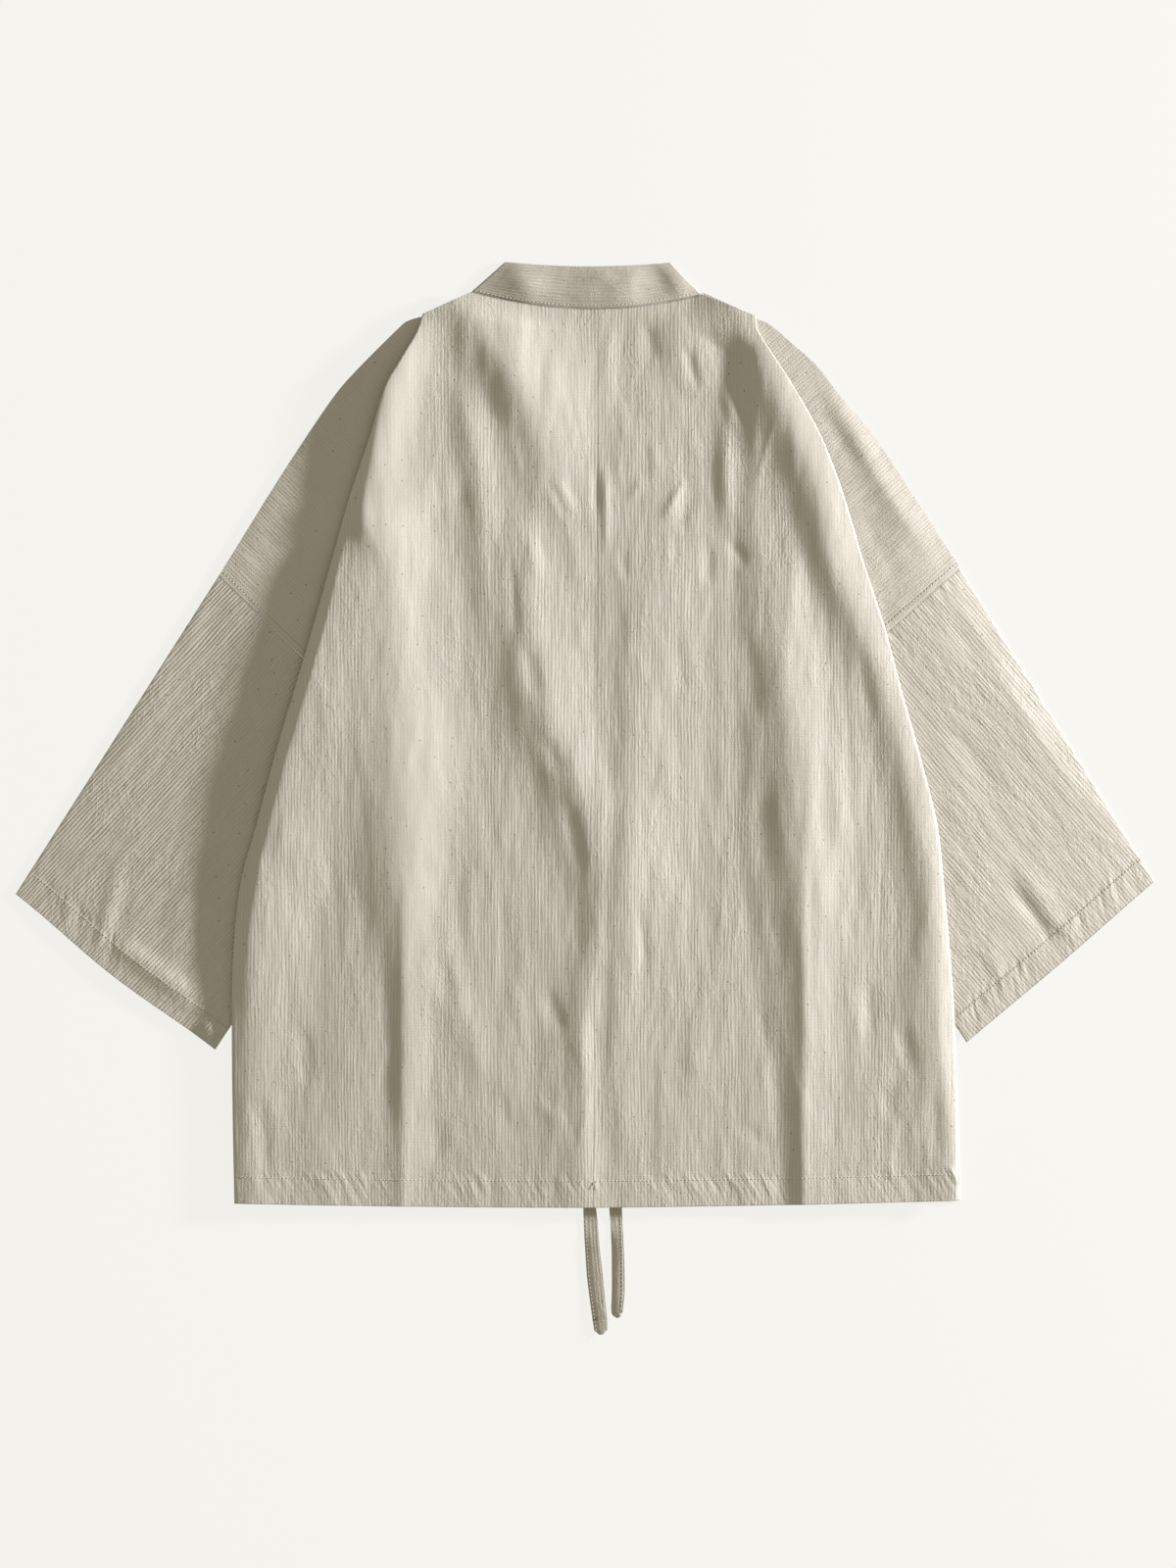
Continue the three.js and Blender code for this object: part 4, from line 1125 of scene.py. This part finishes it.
# %% Thread ends
KNOT_AT = (7.5, -318.0)
THREAD_RADIUS, THREAD_SIDES, THREAD_ROWS = 0.22, 6, 26
THREAD_STEP = 0.25  # each end lies this much higher than the one before


def thread(points):
    """A tube along a smooth line."""
    sides = THREAD_SIDES
    path = spline(*points)(np.linspace(0, 1, THREAD_ROWS))
    ahead = np.gradient(path, axis=0)
    ahead /= np.linalg.norm(ahead, axis=1, keepdims=True)
    across = np.cross(ahead, [0, 0, 1.0])
    across /= np.maximum(np.linalg.norm(across, axis=1, keepdims=True), 1e-6)
    up = np.cross(across, ahead)
    angles = np.arange(sides) * 2 * np.pi / sides
    wide, high = np.cos(angles)[None, :, None], np.sin(angles)[None, :, None]
    ring = across[:, None] * wide + up[:, None] * high
    tube = path[:, None] + ring * THREAD_RADIUS
    index = np.arange(len(path) * sides).reshape(len(path), sides)
    beside = np.roll(index, -1, axis=1)
    quads = np.stack([index[:-1], beside[:-1], beside[1:], index[1:]], -1).reshape(-1, 4)
    return tube.reshape(-1, 3), quads[:, ::-1]


def knot():
    x0, y0 = KNOT_AT
    above = CLOTH / 2 + THREAD_RADIUS
    lie = lambda x, y: float(back_height(np.array(x0 + x), np.array(y0 + y))) + above
    curls = [
        [(-1.6, 1), (0.6, 2), (1.6, 0.6), (0, -0.6), (-1, 0.6), (0.6, 1.6)],
        [(0, 0), (1.6, -1.6), (1.2, -3.6), (2.4, -4.6)],
        [(0.6, 0.6), (-1, -1.6), (-2, -3), (-1.6, -4.4)],
    ]
    points, quads, count = [], [], 0
    for number, curl in enumerate(curls):
        path = [(x0 + x, y0 + y, lie(x, y) + THREAD_STEP * number) for x, y in curl]
        tube, faces = thread(path)
        points.append(tube)
        quads.append(faces + count)
        count += len(tube)
    return mesh_object("thread_ends", np.vstack(points), np.vstack(quads))


thread_ends = knot()

# %% [markdown]
# ## What the cloth looks like
#
# The cloth is woven of unbleached cotton and linen. Fine ribs run down it, every one of a slightly
# different thickness, crossed by a finer grain, with thick slubs, patches of fine crinkles and now
# and then a dark fleck of straw. Where a fold draws the cloth tight, the ribs flatten. All of it is
# relief and colour in the flat pattern's own place, so it turns with the cut.

# %% Node helpers
def add(tree, kind, place, **values):
    node = tree.nodes.new(kind)
    node.location = place
    for key, value in values.items():
        setattr(node, key, value)
    return node


def link(tree, source, target):
    tree.links.new(source, target)


def maths(tree, operation, first, second=None, place=(0, 0), third=None):
    """A maths node on sockets or plain numbers."""
    node = add(tree, "ShaderNodeMath", place, operation=operation)
    for slot, value in enumerate((first, second, third)):
        if value is None:
            continue
        if isinstance(value, (int, float)):
            node.inputs[slot].default_value = value
        else:
            link(tree, value, node.inputs[slot])
    return node.outputs[0]


def noise(tree, vector, scale, detail=2.0, roughness=0.5, place=(0, 0)):
    node = add(tree, "ShaderNodeTexNoise", place, noise_dimensions="3D")
    node.inputs["Scale"].default_value = scale
    node.inputs["Detail"].default_value = detail
    node.inputs["Roughness"].default_value = roughness
    link(tree, vector, node.inputs["Vector"])
    return node.outputs["Fac"]


def scaled(tree, vector, factors, place=(0, 0)):
    node = add(tree, "ShaderNodeVectorMath", place, operation="MULTIPLY")
    node.inputs[1].default_value = factors
    link(tree, vector, node.inputs[0])
    return node.outputs["Vector"]


def ramp(tree, value, start, end, low=0.0, high=1.0, place=(0, 0)):
    node = add(tree, "ShaderNodeMapRange", place, clamp=True, interpolation_type="SMOOTHSTEP")
    for key, number in zip(("From Min", "From Max", "To Min", "To Max"), (start, end, low, high)):
        node.inputs[key].default_value = number
    link(tree, value, node.inputs["Value"])
    return node.outputs["Result"]


def centred(tree, value, place):
    return maths(tree, "SUBTRACT", value, 0.5, place)


# %% Weave group
RIB_PITCH = 2.75  # mm
RIB_RELIEF = 0.043  # mm, as are the others
STREAK_RELIEF, LUMP_RELIEF, CRINKLE_RELIEF, THICK_RELIEF = 0.20, 0.72, 0.06, 0.05
THREAD_RELIEF, WEFT_SHARE = 0.28, 0.5
TIGHT_FLATTENS = 0.75  # share of the relief that goes where the cloth is fully tight
CRINKLE_WIDTH = 0.085
FLECK_CHANCE = 0.62


def weave_group():
    group = bpy.data.node_groups.new("woven_ribs", "ShaderNodeTree")
    group.interface.new_socket("Drawn tight", in_out="INPUT", socket_type="NodeSocketFloat")
    for name in ("Height", "Shade", "Fleck"):
        group.interface.new_socket(name, in_out="OUTPUT", socket_type="NodeSocketFloat")
    given = add(group, "NodeGroupInput", (-1400, 400))
    out = add(group, "NodeGroupOutput", (1400, 0))
    uv = add(group, "ShaderNodeUVMap", (-1400, 0), uv_map="weave").outputs["UV"]
    place = scaled(group, uv, (1000, 1000, 0), (-1200, 0))  # millimetres
    split = add(group, "ShaderNodeSeparateXYZ", (-1000, 200))
    link(group, place, split.inputs[0])

    def field(across, down, detail, roughness, row):
        vector = scaled(group, place, (across, down, 1), (-1000, row))
        return noise(group, vector, 1.0, detail, roughness, (-800, row))

    # Ribs wander a little, and each is thick and thin along its length.
    slow, quick = field(0.05, 0.012, 2, 0.5, -100), field(0.30, 0.02, 1, 0.5, -300)
    shift = maths(group, "MULTIPLY_ADD", slow, 5.0, (-600, -100), split.outputs["X"])
    shift = maths(group, "MULTIPLY_ADD", quick, 1.2, (-500, -200), shift)
    turns = maths(group, "MULTIPLY", shift, 2 * math.pi / RIB_PITCH, (-400, 0))
    rib = maths(group, "SINE", turns, None, (-300, 0))
    strength = ramp(group, field(0.12, 0.02, 2, 0.6, -500), 0.3, 0.7, 0.6, 1.2, (-600, -500))
    rib = maths(group, "MULTIPLY", rib, strength, (-200, 0))

    # Finer: the grain of single threads. Coarser: slack streaks and lumps between the ribs.
    grain = centred(group, field(0.9, 1.3, 3, 0.65, -700), (-600, -700))
    thick = ramp(group, field(0.8, 0.07, 2, 0.55, -900), 0.50, 0.72, 0.0, 1.0, (-600, -900))
    weft = centred(group, field(0.05, 0.9, 2, 0.55, -1050), (-600, -1050))
    streak = centred(group, field(0.26, 0.06, 2, 0.6, -1150), (-600, -1150))
    lump = centred(group, field(0.10, 0.026, 2, 0.5, -1250), (-600, -1250))

    # Crinkles: thin bent lines that come in patches and lean both ways.
    def crinkle(lean, row):
        x, y = split.outputs["X"], split.outputs["Y"]
        leaning = maths(group, "MULTIPLY_ADD", y, lean, (-1000, row), x)
        bent = add(group, "ShaderNodeCombineXYZ", (-900, row))
        link(group, maths(group, "MULTIPLY", leaning, 0.12, (-950, row)), bent.inputs["X"])
        link(group, maths(group, "MULTIPLY", y, 0.05, (-950, row - 50)), bent.inputs["Y"])
        bent.inputs["Z"].default_value = lean * 10
        wave = noise(group, bent.outputs[0], 1.0, 1.0, 0.5, (-800, row))
        line = maths(group, "ABSOLUTE", centred(group, wave, (-700, row)), None, (-650, row))
        return ramp(group, line, 0.0, CRINKLE_WIDTH, 1.0, 0.0, (-600, row))

    patches = ramp(group, field(0.022, 0.016, 1, 0.5, -1300), 0.42, 0.62, 0.1, 1.0, (-600, -1300))
    crinkles = maths(group, "ADD", crinkle(0.45, -1400), crinkle(-0.6, -1450), (-500, -1400))
    crinkles = maths(group, "MULTIPLY", crinkles, patches, (-400, -1400))

    # Tight cloth loses its ribs twice over, and keeps more of its single threads.
    tight = given.outputs["Drawn tight"]
    slack = maths(group, "MULTIPLY_ADD", tight, -TIGHT_FLATTENS, (-100, 200), 1.0)
    height = maths(group, "MULTIPLY", maths(group, "MULTIPLY", rib, slack, (-50, 50)), RIB_RELIEF, (0, 0))
    reliefs = ((streak, STREAK_RELIEF), (lump, LUMP_RELIEF), (crinkles, CRINKLE_RELIEF), (thick, THICK_RELIEF))
    for number, (value, relief) in enumerate(reliefs):
        height = maths(group, "MULTIPLY_ADD", value, relief, (150 + 100 * number, -100), height)
    height = maths(group, "MULTIPLY", height, slack, (600, 0))
    thread = maths(group, "MULTIPLY_ADD", weft, WEFT_SHARE, (650, -200), grain)
    kept = ramp(group, slack, 1 - TIGHT_FLATTENS, 1.0, 0.55, 1.0, (650, -300))
    thread = maths(group, "MULTIPLY", thread, kept, (750, -200))
    height = maths(group, "MULTIPLY_ADD", thread, THREAD_RELIEF, (900, -100), height)
    link(group, height, out.inputs["Height"])

    blotch = centred(group, field(0.02, 0.008, 3, 0.5, -1350), (-600, -1350))
    # Colour: the rib term darkens the grooves between the ribs, partly the yarn's own tone and partly painted
    # shade in the grooves. The grain, slubs and blotches are the yarn's own tone.
    shade = 1.0
    for number, (value, share) in enumerate(((rib, 0.04), (grain, 0.22), (thick, 0.06), (blotch, 0.12))):
        shade = maths(group, "MULTIPLY_ADD", value, share, (150 * number, -400), shade)
    link(group, shade, out.inputs["Shade"])

    # Straw flecks, a few centimetres apart.
    speck = add(group, "ShaderNodeTexVoronoi", (-800, -1500), voronoi_dimensions="2D", feature="F1")
    speck.inputs["Scale"].default_value = 1.0
    link(group, scaled(group, place, (0.075, 0.045, 1), (-1000, -1500)), speck.inputs["Vector"])
    chance = add(group, "ShaderNodeSeparateColor", (-600, -1600))
    link(group, speck.outputs["Color"], chance.inputs[0])
    wanted = maths(group, "GREATER_THAN", chance.outputs["Red"], FLECK_CHANCE, (-400, -1600))
    near = ramp(group, speck.outputs["Distance"], 0.022, 0.045, 1.0, 0.0, (-400, -1500))
    link(group, maths(group, "MULTIPLY", near, wanted, (-200, -1500)), out.inputs["Fleck"])
    return group


# %% [markdown]
# Sewing draws the cloth in. Along the hem and the cuffs the turned edge lies a little higher, with
# slanting puckers up to its stitches. On the body's side of the armhole the seam allowances make a
# narrow welt, and the sleeve puckers below it. One allowance shows beside the seam down the back.
# Every seam, and the neck's most of all, is painted as a fine dark line: partly the thread's own
# darkness and partly the shade in its groove. The stitch grooves are darkened the same way, and the
# hem's folded edge is painted dark as the shadow under it. The marks on the mesh say how far away
# each line is, so the puckers follow it wherever the cloth lies.

# %% Sewing group
def sewing_group():
    group = bpy.data.node_groups.new("sewn_lines", "ShaderNodeTree")
    for name in ("Height", "Shade"):
        group.interface.new_socket(name, in_out="OUTPUT", socket_type="NodeSocketFloat")
    out = add(group, "NodeGroupOutput", (1400, 0))
    uv = add(group, "ShaderNodeUVMap", (-1400, 0), uv_map="weave").outputs["UV"]
    place = scaled(group, uv, (1000, 1000, 0), (-1200, 0))
    split = add(group, "ShaderNodeSeparateXYZ", (-1000, 0))
    link(group, place, split.inputs[0])
    across, down = split.outputs["X"], split.outputs["Y"]

    def mark(name, row):
        return add(group, "ShaderNodeAttribute", (-1400, row), attribute_name=name).outputs["Fac"]

    hem, armhole = mark("hem_mm", -200), mark("armhole_mm", -400)
    centre, neck = mark("centre_mm", -600), mark("neck_mm", -800)

    def groove(distance, at, width, row):
        off = maths(group, "SUBTRACT", distance, at, (-1100, row))
        off = maths(group, "ABSOLUTE", off, None, (-1000, row))
        return ramp(group, off, 0.0, width, 1.0, 0.0, (-900, row))

    def band_of(distance, start, end, soft, row):
        rises = ramp(group, distance, start - soft, start + soft, 0.0, 1.0, (-900, row))
        falls = ramp(group, distance, end - soft, end + soft, 1.0, 0.0, (-900, row - 100))
        return maths(group, "MULTIPLY", rises, falls, (-700, row))

    def ripple(x, x_scale, y, y_scale, row):
        vector = add(group, "ShaderNodeCombineXYZ", (-700, row))
        link(group, maths(group, "MULTIPLY", x, x_scale, (-800, row)), vector.inputs["X"])
        link(group, maths(group, "MULTIPLY", y, y_scale, (-800, row - 50)), vector.inputs["Y"])
        return centred(group, noise(group, vector.outputs[0], 1.0, 2.0, 0.55, (-600, row)), (-500, row))

    hem_stitches = groove(hem, HEM_FOLD, 1.4, -200)
    neck_joint = groove(neck, 0.0, 1.8, -250)
    top_stitches = groove(armhole, ARMHOLE_STITCH, 1.3, -300)
    armhole_joint = groove(armhole, 0.0, 1.3, -400)
    centre_joint = groove(centre, 0.0, 1.1, -500)
    hem_fold = band_of(hem, -5.0, HEM_FOLD + 0.5, 1.0, -700)
    welt = band_of(armhole, 0.2, ARMHOLE_STITCH, 0.9, -900)
    allowance = band_of(centre, 1.0, 9.0, 1.2, -1100)

    slant = maths(group, "MULTIPLY_ADD", hem, 0.5, (-850, -1300), across)
    pucker = ripple(slant, 0.085, hem, 0.02, -1300)
    grows = ramp(group, hem, 3.0, HEM_FOLD, 0.35, 1.0, (-500, -1400))
    ends = ramp(group, hem, HEM_FOLD, HEM_FOLD + 10, 1.0, 0.0, (-500, -1500))
    reach = maths(group, "MULTIPLY", grows, ends, (-350, -1400))
    broad = scaled(group, place, (0.012, 0.0, 0), (-700, -1600))
    patchy = noise(group, broad, 1.0, 1.0, 0.5, (-600, -1600))
    patchy = ramp(group, patchy, 0.4, 0.6, 0.15, 1.0, (-450, -1600))
    pucker = maths(group, "MULTIPLY", pucker, reach, (-200, -1300))
    pucker = maths(group, "MULTIPLY", pucker, patchy, (-100, -1300))
    gathers = ripple(across, 0.11, down, 0.02, -1700)
    below = ramp(group, armhole, -16.0, -1.0, 0.0, 1.0, (-500, -1800))
    sleeve_side = ramp(group, armhole, 0.0, 1.0, 1.0, 0.0, (-500, -1900))
    below = maths(group, "MULTIPLY", below, sleeve_side, (-350, -1800))
    gathers = maths(group, "MULTIPLY", gathers, below, (-200, -1700))

    # The hem's folded edge, painted dark as the shadow under it.
    edge = groove(hem, 0.0, 1.3, -2000)
    reliefs = (
        (hem_stitches, -0.16), (top_stitches, -0.07), (armhole_joint, -0.12), (centre_joint, -0.02),
        (hem_fold, 0.4), (welt, 0.26), (allowance, 0.08), (pucker, 3.2), (gathers, 2.2),
    )
    # Painted shade: the seam and stitch grooves are darkened as the shade in them, on top of the thread's own
    # darkness, and the hem's edge as the shadow under it.
    shades = (
        (armhole_joint, -0.30), (hem_stitches, -0.10), (top_stitches, -0.08), (centre_joint, -0.12),
        (edge, -0.38), (neck_joint, -0.34),
    )
    for start, pairs, row, output in ((0.0, reliefs, 0, "Height"), (1.0, shades, -300, "Shade")):
        total = start
        for number, (value, share) in enumerate(pairs):
            total = maths(group, "MULTIPLY_ADD", value, share, (150 * number, row), total)
        link(group, total, out.inputs[output])
    return group


weave_nodes, sewing_nodes = weave_group(), sewing_group()
print("node groups", weave_nodes.name, sewing_nodes.name)

# %% [markdown]
# The cloth and the band are the same stuff. The band is cut double and pressed, so it is more
# clearly ribbed. Its colour, used for the ties too, is a darker copy of the cloth's colour: painted
# shade. The thread is a plain cotton of nearly the same colour.

# %% Materials
# The band's colour is the cloth's colour made darker: painted shade for the band and the ties.
CLOTH_COLOUR, BAND_SHADED_COLOUR = (0.58, 0.545, 0.475), (0.51, 0.473, 0.405)
FLECK_COLOUR, FLECK_STRENGTH = (0.13, 0.085, 0.05), 0.75
THREAD_COLOUR = (0.62, 0.585, 0.515)
CLOTH_FINISH = {
    "Roughness": 0.92, "Specular IOR Level": 0.15, "Sheen Weight": 0.12, "Sheen Roughness": 0.6,
}


def cloth_material(name, base, ribs):
    material = bpy.data.materials.new(name)
    material.use_nodes = True
    tree = material.node_tree
    shader = tree.nodes["Principled BSDF"]
    for socket, value in CLOTH_FINISH.items():
        shader.inputs[socket].default_value = value
    weave = add(tree, "ShaderNodeGroup", (-900, 100), node_tree=weave_nodes)
    drawn = add(tree, "ShaderNodeAttribute", (-1100, 100), attribute_name="drawn")
    link(tree, drawn.outputs["Fac"], weave.inputs["Drawn tight"])
    sewing = add(tree, "ShaderNodeGroup", (-900, -200), node_tree=sewing_nodes)
    shade = maths(tree, "MULTIPLY", weave.outputs["Shade"], sewing.outputs["Shade"], (-600, 200))
    colour = add(tree, "ShaderNodeVectorMath", (-400, 200), operation="SCALE")
    colour.inputs[0].default_value = base
    link(tree, shade, colour.inputs["Scale"])
    mix = add(tree, "ShaderNodeMix", (-200, 200), data_type="RGBA")
    fleck = maths(tree, "MULTIPLY", weave.outputs["Fleck"], FLECK_STRENGTH, (-400, 0))
    link(tree, fleck, mix.inputs["Factor"])
    link(tree, colour.outputs["Vector"], mix.inputs["A"])
    mix.inputs["B"].default_value = (*FLECK_COLOUR, 1)
    link(tree, mix.outputs["Result"], shader.inputs["Base Color"])
    sewn, woven = sewing.outputs["Height"], weave.outputs["Height"]
    height = maths(tree, "MULTIPLY_ADD", woven, ribs, (-600, -200), sewn)
    bump = add(tree, "ShaderNodeBump", (-300, -300))
    bump.inputs["Strength"].default_value = 1.0
    bump.inputs["Distance"].default_value = MM
    link(tree, height, bump.inputs["Height"])
    link(tree, bump.outputs["Normal"], shader.inputs["Normal"])
    return material


def plain_material(name, colour, roughness):
    material = bpy.data.materials.new(name)
    material.use_nodes = True
    shader = material.node_tree.nodes["Principled BSDF"]
    shader.inputs["Base Color"].default_value = (*colour, 1)
    shader.inputs["Roughness"].default_value = roughness
    shader.inputs["Specular IOR Level"].default_value = CLOTH_FINISH["Specular IOR Level"]
    return material


cloth = cloth_material("slubbed_cloth", CLOTH_COLOUR, 1.0)
# The band and ties: the same cloth with a darker colour as painted shade, and stronger ribs.
pressed = cloth_material("pressed_cloth_shaded", BAND_SHADED_COLOUR, 1.2)
sewing_thread = plain_material("sewing_thread", THREAD_COLOUR, 0.85)
print("materials", [material.name for material in (cloth, pressed, sewing_thread)])

# %% [markdown]
# ## Put the pieces together
#
# Each dressed piece stands for its plain solid, which is hidden, and gets its material.


def finish(piece, material, nodes):
    piece.data.materials.append(material)
    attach(piece, "root")
    if nodes:
        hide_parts(*nodes)


for name in SIDES:
    finish(backs[name]["piece"], cloth, [f"back_{name}"])
    finish(fronts[name]["piece"], cloth, [f"front_{name}"])
    finish(sleeves[name]["piece"], cloth, [f"sleeve_{name}"])
    finish(ties[name]["piece"], pressed, [f"tie_{name}"])
finish(band["piece"], pressed, ["collar_band"])
for piece in (back_stitches, front_stitches, sleeve_stitches, band_stitches, tie_stitches, thread_ends):
    finish(piece, sewing_thread, [])

# %% [markdown]
# ## Floor and light
#
# The jacket lies on a plain pale floor that glows a little, as a light table does, so its own shadow
# stays faint. One soft lamp stands to its right, very low, so that it rakes across the ribs and the
# folds throw long soft shadows. A dim warm surround fills them.

# %% Floor
FLOOR_COLOUR, FLOOR_GLOW = (0.08, 0.0795, 0.077), (0.838, 0.830, 0.796)
FLOOR_HALF = 14.0  # metres
floor_mesh = bpy.data.meshes.new("floor")
corners = [(x * FLOOR_HALF, y * FLOOR_HALF, 0) for x, y in ((-1, -1), (1, -1), (1, 1), (-1, 1))]
floor_mesh.from_pydata(corners, [], [(0, 1, 2, 3)])
floor = bpy.data.objects.new("floor", floor_mesh)
bpy.context.scene.collection.objects.link(floor)
floor_paper = plain_material("floor_paper", FLOOR_COLOUR, 0.95)
floor_shader = floor_paper.node_tree.nodes["Principled BSDF"]
floor_shader.inputs["Emission Color"].default_value = (*FLOOR_GLOW, 1)
floor_shader.inputs["Emission Strength"].default_value = 1.0
floor.data.materials.append(floor_paper)
floor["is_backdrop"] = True

# %% Light
KEY_ELEVATION, KEY_AZIMUTH = math.radians(11), math.radians(14)
KEY_DISTANCE, KEY_SIZE, KEY_WATTS = 3.3, 0.32, 295.0  # metres, metres, watts
KEY_COLOUR = (0.95, 0.955, 1.0)
key_data = bpy.data.lights.new("key", "AREA")
key_data.shape = "DISK"
key_data.size = KEY_SIZE
key_data.energy = KEY_WATTS
key_data.color = KEY_COLOUR
key = bpy.data.objects.new("key", key_data)
direction = Vector((
    math.cos(KEY_ELEVATION) * math.cos(KEY_AZIMUTH),
    math.cos(KEY_ELEVATION) * math.sin(KEY_AZIMUTH),
    math.sin(KEY_ELEVATION),
))
key.location = direction * KEY_DISTANCE
key.rotation_euler = direction.to_track_quat("Z", "Y").to_euler()
bpy.context.scene.collection.objects.link(key)

FILL_COLOUR, FILL_STRENGTH = (1.0, 0.949, 0.775), 0.39
world = bpy.data.worlds.new("surround")
world.use_nodes = True
background = world.node_tree.nodes["Background"]
background.inputs["Color"].default_value = (*FILL_COLOUR, 1)
background.inputs["Strength"].default_value = FILL_STRENGTH
bpy.context.scene.world = world
bpy.context.scene.view_settings.view_transform = "Standard"
print("lamp", round(key.location.z, 2), "m high and", round(key.location.x, 2), "m to the right")

# %% Finish
bounds_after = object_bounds()
plain = lambda box: [[float(value) for value in corner] for corner in box]
{"before": plain(bounds_before), "after": plain(bounds_after)}
print("box after", bounds_after)
